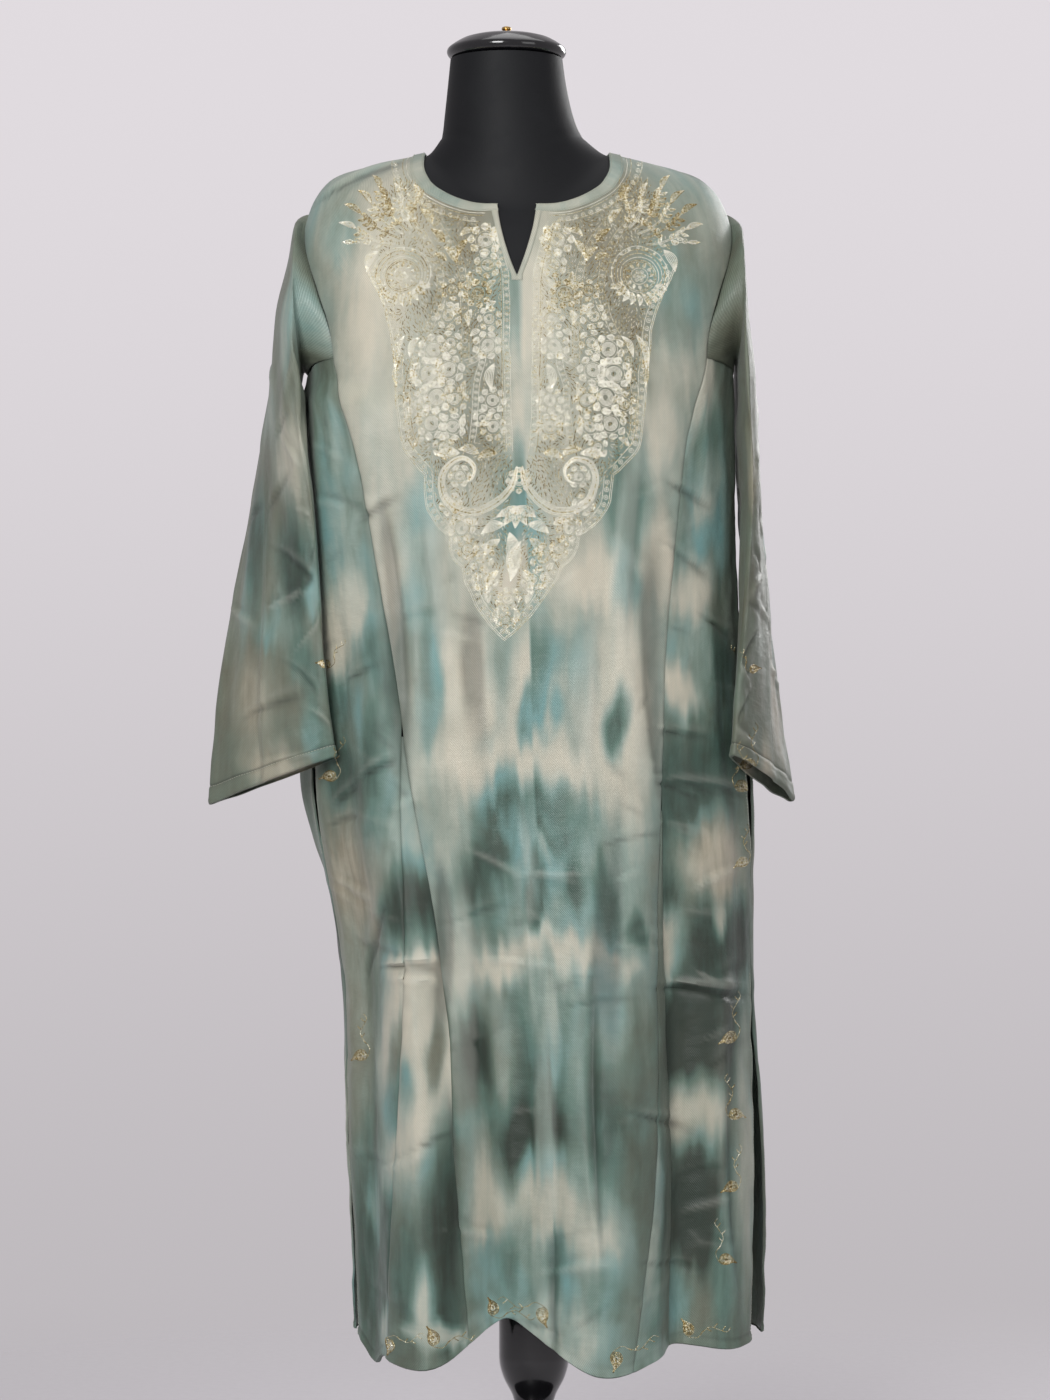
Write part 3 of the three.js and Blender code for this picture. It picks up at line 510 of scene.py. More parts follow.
def resample_turns(inner, outer, down_of, count, fine):
    """Turns for each row so that its columns lie at even distances along the cloth."""
    share = np.linspace(0, 1, 72)
    turns = inner[:, None] + (outer - inner)[:, None] * share
    points = body(turns, down_of(turns))
    steps = np.linalg.norm(np.diff(points, axis=1), axis=-1)
    run = np.concatenate([np.zeros((len(turns), 1)), np.cumsum(steps, axis=1)], axis=1)
    wanted = edge_columns(run[:, -1], count, fine)
    picked = np.array([np.interp(w, r, t) for w, r, t in zip(wanted, run, turns)])
    return picked, wanted, run[:, -1]


def even_downs(start, end, step, turn, ends):
    """Ring positions from start to end, so many millimetres apart along one line, finer at hemmed ends."""
    dense = np.linspace(start, end, 600)
    run = run_along(body(np.full(dense.shape, float(turn)), dense))
    total = run[-1]
    top, bottom = ends
    low = top[-1] if len(top) else 0.0
    high = total - (bottom[-1] if len(bottom) else 0.0)
    count = max(2, round((high - low) / step))
    wanted = np.concatenate([top[:-1], np.linspace(low, high, count + 1), (total - bottom[::-1])[1:]])
    return np.interp(wanted, run, dense)


# Patches of dye, as seen from the front (or the back, for the back's pieces): where each
# lies across and up, its half width and half height, how deep the dye is and how brown it runs.
DYE = {
    "front_panel": [
        (-85, 1310, 105, 100, 0.42, 0.85), (65, 1290, 95, 110, 0.46, 0.85), (-60, 1160, 70, 80, 0.42, 0.7),
        (35, 1160, 66, 80, 0.46, 0.7), (-10, 1040, 90, 60, 0.2, 0.3), (-150, 1330, 40, 60, 0.16, 0.55),
        (0, 430, 150, 150, 0.64, 0.42), (-14, 1190, 60, 110, 0.44, 0.7), (-155, 1180, 50, 150, 0.22, 0.35),
        (-158, 1260, 24, 58, 0.08, 0.25), (-192, 1336, 13, 25, 0.42, 0.1), (142, 1212, 24, 31, 0.25, 0.3),
        (140, 1275, 31, 39, 0.5, 0.1), (123, 1140, 17, 40, 0.1, 0.1), (90, 1058, 19, 48, 0.66, 0),
        (56, 995, 29, 25, 0.04, 0.1), (90, 977, 10, 23, 0.62, 0.1), (123, 1010, 12, 37, 0.12, 0.35),
        (-139, 979, 12, 35, 0.08, 0.1), (-110, 1034, 15, 48, 0.42, 0), (-149, 1126, 13, 58, 0.2, 0.1),
        (-110, 960, 15, 39, 0.46, 0), (-101, 885, 9, 56, 0.72, 0), (-62, 875, 25, 85, 0.08, 0.1),
        (-12, 909, 23, 42, 0.68, 0), (-25, 861, 9, 39, 0.62, 0), (-30, 835, 15, 13, 0.4, 0),
        (50, 904, 12, 31, 0.46, 0), (84, 854, 25, 92, 0.05, 0.05), (77, 854, 10, 29, 0.78, 0),
        (22, 856, 6, 17, 0.42, 0), (-33, 809, 50, 21, 0.07, 0.1), (-25, 761, 28, 37, 0.82, 0),
        (32, 750, 29, 27, 0.62, 0), (-41, 702, 31, 35, 0.88, 0), (25, 677, 42, 29, 0.5, 0),
        (84, 692, 23, 56, 0.45, 0), (6, 719, 19, 14, 0.4, 0), (0, 677, 7, 29, 0.72, 0),
        (40, 689, 9, 21, 0.84, 0), (67, 685, 10, 33, 0.74, 0), (98, 661, 8, 14, 0.78, 0),
        (1, 623, 60, 19, 0.05, 0.1), (75, 626, 17, 13, 0.15, 0.1), (-72, 605, 13, 39, 0.2, 0.3),
        (-3, 574, 13, 37, 0.58, 0), (-58, 536, 13, 40, 0.88, 0), (-33, 538, 9, 48, 0.3, 0.3),
        (-4, 511, 13, 40, 0.66, 0), (36, 538, 15, 58, 0.52, 0), (73, 567, 15, 44, 0.4, 0),
        (17, 547, 5, 48, 0.28, 0.1), (-12, 468, 56, 23, 0.55, 0), (65, 461, 13, 58, 0.72, 0),
        (-11, 449, 14, 33, 0.97, 0), (34, 420, 23, 23, 0.45, 0), (-46, 379, 14, 53, 0.08, 0.35),
        (5, 388, 24, 25, 0.1, 0.2), (54, 355, 27, 40, 0.12, 0.25), (-14, 321, 42, 27, 0.42, 0),
        (-25, 331, 8, 29, 0.62, 0), (63, 311, 15, 29, 0.5, 0), (39, 263, 23, 25, 0.2, 0.1),
        (-4, 273, 39, 12, 0.3, 0.1),
    ],
    "front_gore_left": [
        (-186, 1102, 14, 59, 0.5, 0), (-179, 1013, 16, 49, 0.42, 0), (-172, 964, 14, 30, 0.2, 0),
        (-191, 929, 14, 43, 0.1, 0.25), (-144, 914, 13, 35, 0.72, 0), (-186, 870, 8, 22, 0.72, 0),
        (-155, 853, 13, 30, 0.45, 0), (-147, 814, 17, 43, 0.82, 0), (-186, 801, 14, 25, 0.88, 0),
        (-120, 786, 15, 49, 0.5, 0), (-153, 759, 12, 16, 0.6, 0), (-122, 727, 22, 22, 0.42, 0),
        (-179, 693, 26, 49, 0.3, 0.85), (-128, 666, 18, 33, 0.93, 0), (-130, 612, 16, 13, 0.08, 0),
        (-134, 535, 14, 70, 0.08, 0.2),
        (-179, 540, 15, 87, 0.36, 0.6), (-127, 520, 26, 75, 0.05, 0.1), (-95, 518, 10, 36, 0.5, 0.7),
        (-122, 469, 13, 35, 0.52, 0), (-130, 410, 22, 28, 0.05, 0.25), (-122, 343, 26, 35, 0.68, 0),
        (-119, 302, 12, 30, 0.78, 0), (-157, 323, 20, 87, 0.74, 0), (-156, 382, 6, 26, 0.42, 0),
        (-132, 259, 16, 18, 0.25, 0.1),
    ],
    "front_godet_left": [
        (-112, 755, 40, 50, 0.36, 0), (-112, 664, 44, 36, 0.95, 0), (-112, 612, 50, 13, 0.06, 0),
        (-112, 545, 54, 72, 0.05, 0.2), (-112, 470, 54, 60, 0.05, 0.2), (-95, 531, 8, 32, 0.46, 0.7),
        (-126, 492, 8, 30, 0.36, 0),
        (-121, 320, 14, 44, 0.66, 0), (-83, 368, 17, 74, 0.86, 0),
        (-101, 284, 8, 35, 0.1, 0.1), (-77, 292, 12, 39, 0.8, 0), (-92, 264, 34, 9, 0.14, 0.1),
    ],
    "front_gore_right": [
        (163, 1175, 14, 39, 0.2, 0.3), (175, 1131, 14, 32, 0.62, 0), (178, 1086, 16, 33, 0.45, 0),
        (163, 1052, 12, 20, 0.2, 0.1), (175, 1025, 22, 30, 0.5, 0), (154, 974, 20, 33, 0.12, 0.2),
        (144, 934, 14, 22, 0.46, 0), (140, 885, 20, 22, 0.08, 0.25), (185, 903, 12, 32, 0.82, 0),
        (168, 914, 8, 30, 0.5, 0), (149, 786, 35, 57, 0.9, 0), (191, 811, 18, 41, 0.84, 0),
        (128, 712, 15, 49, 0.87, 0), (183, 717, 28, 37, 0.2, 0.75), (129, 641, 12, 24, 0.15, 0.35),
        (165, 631, 17, 37, 0.94, 0), (199, 637, 14, 37, 0.92, 0), (181, 663, 5, 16, 0.3, 0.4),
        (169, 580, 44, 22, 0.87, 0), (155, 542, 45, 45, 0.96, 0), (158, 476, 34, 26, 0.12, 0.5),
        (144, 456, 8, 22, 0.14, 0.5), (156, 378, 27, 55, 0.98, 0), (154, 284, 28, 33, 0.5, 0.6),
        (188, 333, 9, 67, 0.62, 0), (208, 432, 8, 98, 0.2, 0.3), (136, 294, 10, 30, 0.5, 0),
    ],
    "front_godet_right": [
        (104, 373, 13, 59, 0.82, 0), (87, 402, 8, 49, 0.3, 0.2), (104, 284, 20, 30, 0.55, 0),
        (92, 333, 10, 59, 0.3, 0.2), (116, 250, 20, 12, 0.4, 0),
    ],
    "sleeve_left": [
        (-213, 1239, 16, 40, 0.34, 0.1), (-231, 1170, 26, 34, 0.4, 0.25), (-240, 1116, 32, 36, 0.22, 0.45),
        (-280, 1033, 20, 59, 0.82, 0.1), (-235, 1011, 24, 43, 0.86, 0), (-213, 981, 9, 18, 0.5, 0),
        (-255, 949, 26, 22, 0.5, 0), (-226, 914, 14, 26, 0.7, 0), (-265, 875, 30, 39, 0.35, 0.8),
        (-211, 845, 10, 33, 0.62, 0), (-240, 811, 30, 18, 0.3, 0.8), (-290, 954, 10, 30, 0.45, 0.3),
    ],
    "sleeve_right": [
        (201, 1269, 10, 59, 0.62, 0.2), (208, 1190, 12, 59, 0.7, 0.2), (215, 1102, 10, 39, 0.35, 0.8),
        (205, 1052, 8, 30, 0.5, 0), (221, 962, 17, 51, 0.87, 0), (237, 1013, 10, 30, 0.3, 0.8),
        (224, 860, 22, 43, 0.35, 0.95), (208, 816, 12, 20, 0.3, 0.8),
    ],
    "back_panel": [
        (-120, 1290, 30, 50, 0.4, 0.1), (100, 1270, 34, 60, 0.55, 0.1), (0, 1240, 50, 50, 0.1, 0.2),
        (-60, 1150, 30, 60, 0.66, 0), (70, 1120, 30, 60, 0.44, 0), (0, 1080, 22, 60, 0.84, 0),
        (-120, 1040, 26, 60, 0.12, 0.3), (120, 1010, 26, 50, 0.2, 0.3), (-40, 960, 34, 40, 0.5, 0),
        (50, 930, 30, 44, 0.8, 0), (-80, 890, 28, 50, 0.88, 0), (0, 850, 40, 30, 0.4, 0),
        (80, 820, 30, 60, 0.5, 0), (-30, 770, 60, 26, 0.06, 0.1), (40, 690, 18, 60, 0.86, 0),
        (-10, 650, 16, 60, 0.62, 0), (-60, 640, 18, 56, 0.84, 0), (90, 620, 16, 60, 0.4, 0),
        (10, 560, 60, 30, 0.5, 0), (0, 530, 16, 40, 0.95, 0), (-50, 480, 20, 60, 0.1, 0.3),
        (50, 470, 26, 50, 0.12, 0.2), (0, 380, 46, 40, 0.46, 0), (-80, 330, 26, 60, 0.76, 0),
        (80, 320, 26, 60, 0.7, 0),
    ],
}
# How deep and how brown the dye is between the patches.
DYE_BASE = {"front_panel": (0.38, 0.3), "back_panel": (0.42, 0.2), "sleeve": (0.63, 0.6), "gore": (0.6, 0.4)}
POINTED = 1.5  # the outline of a patch: 2 is an oval, 1 a diamond
PATCH_SPREAD = 1.24  # how much wider a patch is than its row says, as its edge bleeds


def dye_at(name, point, across):
    """How deep and how brown the dye is at each point: patches laid over each other, with run edges."""
    base = DYE_BASE.get(name) or DYE_BASE["sleeve" if "sleeve" in name else "gore"]
    rows = DYE.get(name)
    flip = 1
    if rows is None:
        other = {"left": "right", "right": "left"}[name.rsplit("_", 1)[1]]
        rows = DYE[name.replace("back_", "front_").rsplit("_", 1)[0] + "_" + other]
        flip = -1
    x = point[..., 0]
    z = point[..., 2]
    along_cloth = np.gradient(across, axis=1)
    stretch = np.gradient(x, axis=1) / np.where(np.abs(along_cloth) < 1e-6, 1e-6, along_cloth)
    stretch = np.clip(np.abs(stretch), 0.3, 1.0)
    if "sleeve" in name:
        stretch = np.ones_like(stretch)
    seed = sum(ord(letter) for letter in name)
    run = lattice_noise(across / 5.5, z / 190.0, seed) * 9
    run = run + lattice_noise(across / 26.0, z / 80.0, seed + 1) * 12
    sway = lattice_noise(across / 45.0, z / 55.0, seed + 2) * 5
    depth = np.full(x.shape, float(base[0])) + 0.07 * lattice_noise(across / 40.0, z / 120.0, seed + 3)
    brown = np.full(x.shape, float(base[1])) + 0.12 * lattice_noise(across / 60.0, z / 90.0, seed + 4)
    for cx, cz, half_width, half_height, deep, warm in rows:
        nearest = np.argmin((x - flip * cx) ** 2 + (z - cz) ** 2)
        centre = across.flat[nearest]
        reach = half_width * PATCH_SPREAD / stretch.flat[nearest]
        beside = np.abs((across + sway - centre) / reach) ** POINTED
        above = np.abs((z + run - cz) / (half_height * PATCH_SPREAD)) ** POINTED
        cover = smooth(1.6, 0.35, (beside + above) ** (1 / POINTED))
        depth = mix(depth, deep, cover)
        brown = mix(brown, warm, cover)
    depth = depth + 0.1 * smooth(720, 480, z)
    return np.stack([clamp01(depth), clamp01(brown), np.zeros_like(depth)], -1)


def cell_faces(rows, columns, first=0, flip=False):
    """Four-sided faces over a grid of vertices numbered row by row."""
    index = first + np.arange(rows * columns).reshape(rows, columns)
    return faces_over(index, flip)


def faces_over(index, flip=False):
    """Four-sided faces between the neighbours in a grid of vertex numbers."""
    quads = np.stack([index[:-1, :-1], index[1:, :-1], index[1:, 1:], index[:-1, 1:]], -1).reshape(-1, 4)
    return quads[:, ::-1] if flip else quads


def shell(outer, normal, quads, wall):
    """A closed wall from a sheet of points: the sheet, its inner copy and a rim along every open edge."""
    count = len(outer)
    inner = outer - normal * (wall[:, None] if np.ndim(wall) else wall)
    edges = np.concatenate([quads[:, [i, (i + 1) % 4]] for i in range(4)])
    keys = edges[:, 0] * count + edges[:, 1]
    back = edges[:, 1] * count + edges[:, 0]
    rim = edges[~np.isin(keys, back)]
    sides = np.stack([rim[:, 1], rim[:, 0], rim[:, 0] + count, rim[:, 1] + count], -1)
    faces = np.concatenate([quads, quads[:, ::-1] + count, sides])
    return np.concatenate([outer, inner]), faces


def link_object(name, data):
    made = bpy.data.objects.new(name, data)
    bpy.context.scene.collection.objects.link(made)
    return made


def mesh_object(name, points, faces, uv=None, values=None, sharp=52):
    """A named piece from points in millimetres; uv is one pair for each point, in millimetres too."""
    mesh = bpy.data.meshes.new(name)
    if isinstance(faces, np.ndarray):
        faces = faces.tolist()
    mesh.from_pydata((np.asarray(points) * MM).tolist(), [], faces)
    mesh.polygons.foreach_set("use_smooth", np.ones(len(mesh.polygons), bool))
    if sharp:
        mesh.set_sharp_from_angle(angle=math.radians(sharp))
    if uv is not None:
        corners = np.empty(len(mesh.loops), np.int32)
        mesh.loops.foreach_get("vertex_index", corners)
        layer = mesh.uv_layers.new(name="cloth")
        layer.data.foreach_set("uv", (np.asarray(uv)[corners] * MM).astype(np.float32).ravel())
    if values is not None:
        dye = mesh.attributes.new("dye", "FLOAT_VECTOR", "POINT")
        dye.data.foreach_set("vector", np.asarray(values, np.float32).ravel())
    mesh.update()
    return link_object(name, mesh)


def finish_piece(piece, material, replaces=()):
    """Give a piece its one material, hang it on the root body and hide the parts that it replaces."""
    piece.data.materials.clear()
    piece.data.materials.append(material)
    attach(piece, "root")
    if replaces:
        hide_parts(*replaces)
    return piece


def painted_crease_shade(creases, sewn_edges, hem):
    """Painted shade: up to 1 in crease troughs, seam grooves and the hem's stitch line; down to -1, paler, on
    ridges.
    """
    # painted shade along the groove of the hem's line of stitches
    line = 0.75 * np.exp(-(((hem - HEM_DEPTH) / 1.5) ** 2))
    return np.clip(-creases / 2.6 - np.minimum(sewn_edges, 0) * 0.55 + line, -1, 1)


SEW_GAP = 0.14  # what is left open between two sewn pieces
# How far apart the rows of each piece's grid lie, between its finer rows at seams and hems.
GRID_STEPS = {
    "upper_front": 3.9, "lower_front": 3.7, "back": 5.4, "front_gore": 3.8, "back_gore": 4.8, "godet": 5,
    "sleeve": 3.9,
}
CLOTH_WALL = 1.15
TURNED_WALL = 1.0  # what the turned cloth adds to the wall below the hem's line


def cloth_wall(hem):
    return CLOTH_WALL + TURNED_WALL * smooth(HEM_DEPTH + 1.2, HEM_DEPTH - 1.2, hem)


class ClothPiece:
    """A cut piece's grid: the place of each vertex, its distance from the sewn edges and from the hem."""

    def __init__(self, name, turn, down, across, edge):
        hem = hem_distance(down)
        point = body(turn, down)
        normal = body_normal(turn, down)
        relief, creases = body_relief(turn, down, point)
        height = point[..., 2]
        sewn_edges = seam_dip(edge, height, 31) + hem_step(hem)
        relief = relief + sewn_edges
        self.outer = point + normal * relief[..., None]
        self.normal = normal
        self.across = across
        self.dye = dye_at(name, point, across)
        # the dye attribute's third value is painted shade in creases, seam grooves and the hem's line, paler
        # on ridges
        self.dye[..., 2] = painted_crease_shade(creases, sewn_edges, hem)
        self.wall = cloth_wall(hem)
        self.uv = np.stack([across, height], -1)
        self.hem = hem
        self.edge_lines = []


def front_panel():
    """Both halves of the front, joined down the middle below the slit."""
    upper = even_downs(0, SLIT_END, GRID_STEPS["upper_front"], 0, (EDGE_ROWS, NO_ROWS))
    lower = even_downs(SLIT_END, HEM, GRID_STEPS["lower_front"], 0, (NO_ROWS, HEM_ROWS))
    downs = np.concatenate([upper, lower[1:]])
    slit_row = len(upper) - 1

    def cut_rows(turns):
        return below_neck(turns, downs[:, None])

    halves = []
    for side, sign in (("left", -1), ("right", 1)):
        inner = sign * slit_half_turn(downs)
        inner[slit_row:] = 0
        outer = panel_edge(side + "_front", downs, SEW_GAP)
        turns, places, widths = resample_turns(inner, outer, cut_rows, 50, (False, True))
        down = cut_rows(turns)
        half_slit = np.abs(inner) * per_degree(inner, downs)
        across = sign * (places + half_slit[:, None])
        edge = widths[:, None] - places
        halves.append(ClothPiece("front_panel", turns, down, across, edge))
    left, right = halves
    rows, columns = left.across.shape
    index_left = np.arange(rows * columns).reshape(rows, columns)
    index_right = index_left + rows * columns
    index_right[slit_row:, 0] = index_left[slit_row:, 0]
    faces = np.concatenate([faces_over(index_left, True), faces_over(index_right)])
    return [left, right], faces


def hem_distance(down):
    """About how far a point lies above the hem, along the cloth."""
    return np.maximum(0, (HEM - down) * RING_MM)


def level_rows(downs):
    """Rows that keep their ring position all the way across."""
    return lambda turns: downs[:, None] + 0 * turns


def merge_pieces(parts, attribute):
    grids = [getattr(part, attribute) for part in parts]
    return np.concatenate([grid.reshape(-1, *grid.shape[2:]) for grid in grids])


def back_panel():
    """The back, cut in one piece."""
    downs = even_downs(0, HEM, GRID_STEPS["back"], 180, (EDGE_ROWS, HEM_ROWS))
    inner = panel_edge("right_back", downs, SEW_GAP)
    outer = panel_edge("left_back", downs, SEW_GAP) + 360
    turns, places, widths = resample_turns(inner, outer, level_rows(downs), 84, (True, True))
    down = downs[:, None] + 0 * turns
    across = places - widths[:, None] / 2
    edge = np.minimum(places, widths[:, None] - places)
    part = ClothPiece("back_panel", turns, down, across, edge)
    return [part], cell_faces(*turns.shape)


def gore(side, part):
    """A side gore, from the underarm to the hem, with the openings on its side edge."""
    name = part + "_gore_" + side
    away = outwards_from(side, part)
    reference = float(seam_turn(side + "_side", 8.0) + seam_turn(side + "_" + part, 8.0)) / 2
    downs = even_downs(UNDERARM, HEM, GRID_STEPS[part + "_gore"], reference, (EDGE_ROWS, HEM_ROWS))
    steps = (downs - UNDERARM) / (HEM - UNDERARM) * LOWER_STEPS
    width = np.abs(side_turn(side, part, downs) - godet_turn(side, part, downs)) * 3.9
    columns = 34
    shares = edge_columns(width, columns, (True, True)) / width[:, None]
    down = mix(lower_row(UNDERARM, steps)[:, None], lower_row(UNDERARM_SIDE, steps)[:, None], shares)
    inner = moved(godet_turn(side, part, down), down, -away * SEW_GAP / 2)
    outer = moved(side_turn(side, part, down), down, away * SEW_GAP / 2)
    turns = mix(inner, outer, shares)
    places = shares * width[:, None]
    across = (places - width[:, None] / 2) * (-away if part == "front" else away)
    open_edge = clamp01(opening_at(side, part, down) / 0.6)
    edge = np.minimum(places, width[:, None] - places)
    top = np.linalg.norm(body(turns, down) - body(turns[:1], down[:1]), axis=-1)
    edge = np.minimum(edge, top)
    made = ClothPiece(name, turns, down, across, edge)
    finished = 0.3 * smooth(9.5, 8.0, width[:, None] - places) * open_edge
    made.outer = made.outer + made.normal * finished[..., None]
    rows = np.nonzero(open_edge[:, -1] > 0.5)[0]
    column = np.argmin(np.abs(width[:, None] - places - 8.2), axis=1)
    for run in np.split(rows, np.nonzero(np.diff(rows) > 1)[0] + 1):
        if len(run) > 3:
            made.edge_lines.append((run, column[run]))
    return [made], cell_faces(*turns.shape, flip=away > 0)


def godet(side, part):
    """A godet let into a panel's seam, from its point to the hem."""
    name = part + "_godet_" + side
    away = outwards_from(side, part)
    step = GODETS[side + "_" + part][0]
    start = float(lower_row(UNDERARM, step + GODET_TIP))
    seam = side + "_" + part
    reference = float(seam_turn(seam, 9.0))
    downs = even_downs(start, HEM, GRID_STEPS["godet"], reference, (NO_ROWS, HEM_ROWS))
    inner = moved(seam_turn(seam, downs), downs, -away * SEW_GAP / 2)
    outer = moved(godet_turn(side, part, downs), downs, away * SEW_GAP / 2)
    turns, places, widths = resample_turns(inner, outer, level_rows(downs), 20, (True, True))
    down = downs[:, None] + 0 * turns
    across = (places - widths[:, None] / 2) * (-away if part == "front" else away)
    edge = np.minimum(places, widths[:, None] - places)
    made = ClothPiece(name, turns, down, across, edge)
    return [made], cell_faces(*turns.shape, flip=away > 0)


# Creases of the sleeves: the turn round from the outer side, the height, half the length round, half the
# width, the slope, the height of the ridge and its pair.
SLEEVE_CREASES = {
    "left": [
        (30, 975, 40, 6, 12, 2.6, 0.6), (40, 1010, 44, 6, -22, -2.4, 0.6), (60, 940, 34, 5, 26, 2.0, 0.5),
        (20, 1080, 36, 6, 30, -2.0, 0.5), (50, 1120, 30, 6, -34, 2.0, 0.4), (10, 870, 40, 6, 14, -2.2, 0.6),
        (70, 860, 26, 5, -18, 2.0, 0.5), (200, 1000, 40, 6, 18, 2.4, 0.6), (180, 920, 40, 6, -16, -2.2, 0.6),
        (150, 1100, 34, 6, 20, 2.0, 0.5), (-40, 960, 40, 6, -14, 2.2, 0.6), (-30, 1060, 36, 6, 18, -2.0, 0.6),
        (60, 1190, 30, 7, 40, 2.0, 0.4), (0, 1200, 30, 8, -30, 1.8, 0.3),
        (45, 900, 30, 4.5, -30, -2.0, 0.6), (55, 985, 26, 4.5, 34, -1.8, 0.6),
        (35, 1145, 30, 5, 26, -2.0, 0.5), (65, 1060, 26, 4.5, -12, 1.8, 0.5),
        (25, 820, 34, 5, 8, 1.8, 0.5), (78, 1020, 22, 4, 18, -1.6, 0.5),
    ],
    "right": [
        (60, 930, 34, 5, -26, -2.4, 0.6), (70, 900, 30, 5, 20, 2.2, 0.5), (50, 990, 34, 6, -18, 2.2, 0.5),
        (30, 1050, 34, 6, 28, -2.0, 0.6), (60, 840, 30, 5, 16, 2.2, 0.5), (10, 960, 40, 6, 16, 2.2, 0.6),
        (-30, 1020, 40, 6, -20, -2.2, 0.6), (-40, 900, 36, 6, 14, 2.2, 0.5), (200, 980, 40, 6, -16, 2.2, 0.6),
        (180, 1090, 36, 6, 22, -2.0, 0.5), (20, 1160, 32, 7, -34, 2.0, 0.4),
        (45, 1010, 28, 4.5, 30, -1.8, 0.6), (65, 870, 26, 4.5, -30, -1.8, 0.6),
        (40, 1120, 28, 5, -20, 1.8, 0.5),
        (55, 965, 26, 4.5, 12, -1.6, 0.5), (75, 1080, 24, 4, -24, 1.6, 0.5),
    ],
}


def armhole_line(side, k, gap):
    """Points of the armhole, k from 0 at the shoulder down the front, under the arm and up the back."""
    edge = len(ARMHOLE_ROWS) - 1
    total = 2 * (edge + GORE_COLUMNS)
    k = k % total
    mirrored = k > total / 2
    run = np.where(mirrored, total - k, k)
    on_panel = run <= edge
    down_panel = np.interp(run, range(edge + 1), ARMHOLE_ROWS)
    share = clamp01((run - edge) / GORE_COLUMNS)
    down_gore = mix(UNDERARM, UNDERARM_SIDE, share)
    turn = np.zeros_like(run)
    down = np.where(on_panel, down_panel, down_gore)
    for part, mask in (("front", ~mirrored), ("back", mirrored)):
        away = outwards_from(side, part)
        panel = armhole_turn(side + "_" + part, down_panel)
        inner = moved(godet_turn(side, part, down_gore), down_gore, -away * gap / 2)
        outer = moved(side_turn(side, part, down_gore), down_gore, away * gap / 2)
        turn = np.where(mask, np.where(on_panel, panel, mix(inner, outer, share)), turn)
    return turn, down


ARMHOLE_REACH = 84  # half the flat width that the sleeve's creases are laid out on, at the armhole


def sleeve(side):
    """A sleeve's grid, lofted from the armhole to the cuff: its surface and all that its mesh needs."""
    sign = -1 if side == "left" else 1
    edge = len(ARMHOLE_ROWS) - 1
    total = 2 * (edge + GORE_COLUMNS)
    columns = 112
    k = np.arange(columns) * total / columns
    run = np.where(k > total / 2, total - k, k)
    half = np.where(run <= edge, CORNER_TURN * run / edge, mix(CORNER_TURN, 180, (run - edge) / GORE_COLUMNS))
    round_turn = np.where(k > total / 2, 360 - half, half)
    hole_turn, hole_down = armhole_line(side, k, SEW_GAP)
    hole = body(hole_turn, hole_down)
    hole_normal = body_normal(hole_turn, hole_down)
    tangent = np.roll(hole, -1, 0) - np.roll(hole, 1, 0)
    inward = unit(np.cross(tangent, hole_normal))
    inward *= np.sign(np.sum(inward * (hole.mean(0) - hole), -1, keepdims=True))
    start = hole + inward * SEW_GAP
    s = np.sin(np.radians(round_turn))
    c = np.cos(np.radians(round_turn))
    rings = [start]
    for z, across, ahead, wide, thick, turn, tip, slant in SLEEVES[side]:
        tilt = math.radians(turn)
        aside = thick * c
        forward = wide * s
        x = across + sign * (aside * math.cos(tilt) - forward * math.sin(tilt))
        y = ahead - aside * math.sin(tilt) - forward * math.cos(tilt)
        rings.append(np.stack([x, y, z + tip * c + slant * s], -1))
    rings = np.array(rings)
    last = len(rings) - 1
    dense = np.linspace(0, last, 300)

    def loft(rows):
        i = np.minimum(np.floor(rows), last - 1).astype(int)
        near = [rings[np.clip(i + o, 0, last)] for o in (-1, 0, 1, 2)]
        return through(*near, (rows - i)[:, None, None])

    lengths = np.concatenate([[0], np.cumsum(np.linalg.norm(np.diff(loft(dense), axis=0), axis=-1).mean(1))])
    total_length = lengths[-1]
    count = round((total_length - EDGE_ROWS[-1] - HEM_ROWS[-1]) / GRID_STEPS["sleeve"])
    between = np.linspace(EDGE_ROWS[-1], total_length - HEM_ROWS[-1], count)
    wanted = np.concatenate([EDGE_ROWS[:-1], between, (total_length - HEM_ROWS[::-1])[1:]])
    rows = np.interp(wanted, lengths, dense)
    point = loft(rows)
    down_step = loft(np.minimum(rows + 0.02, last)) - loft(np.maximum(rows - 0.02, 0))
    round_step = np.roll(point, -1, 1) - np.roll(point, 1, 1)
    normal = unit(np.cross(round_step, down_step)) * sign
    blend = ((1 + c) / 2)[None, :, None] * np.exp(-((wanted / 12) ** 2))[:, None, None]
    normal = unit(mix(normal, np.broadcast_to(hole_normal, normal.shape), blend))
    z = point[..., 2]
    turn_grid = np.broadcast_to(round_turn, z.shape)
    spread = np.interp(rows, range(last + 1), [ARMHOLE_REACH] + [row[3] for row in SLEEVES[side]])[:, None]
    relief = np.zeros_like(z)
    for crease_turn, *crease in SLEEVE_CREASES[side]:
        offset = np.radians(wrapped(turn_grid - crease_turn)) * spread
        relief += crease_sum([(0, *crease)], offset, z)
    free = smooth(30, 120, wanted)[:, None]
    relief = relief * free
    creases = relief.copy()
    drape = lattice_noise(turn_grid / 24.0, z / 80.0, 41) * 2.2
    crumple = lattice_noise(turn_grid / 11.0, z / 30.0, 42) * 0.9
    relief += (drape + crumple) * free
    hem = (total_length - wanted)[:, None] + 0 * z
    sewn_edges = seam_dip(wanted[:, None] + 0 * z, turn_grid * 1.4, 31) + hem_step(hem)
    relief += sewn_edges
    outer = point + normal * relief[..., None]
    across = spread * s[None, :]
    uv_across = np.cumsum(np.concatenate([[0], np.linalg.norm(np.diff(point, axis=1), axis=-1).mean(0)]))
    return outer, normal, across, uv_across, wanted, hem, point, z, painted_crease_shade(creases, sewn_edges, hem)


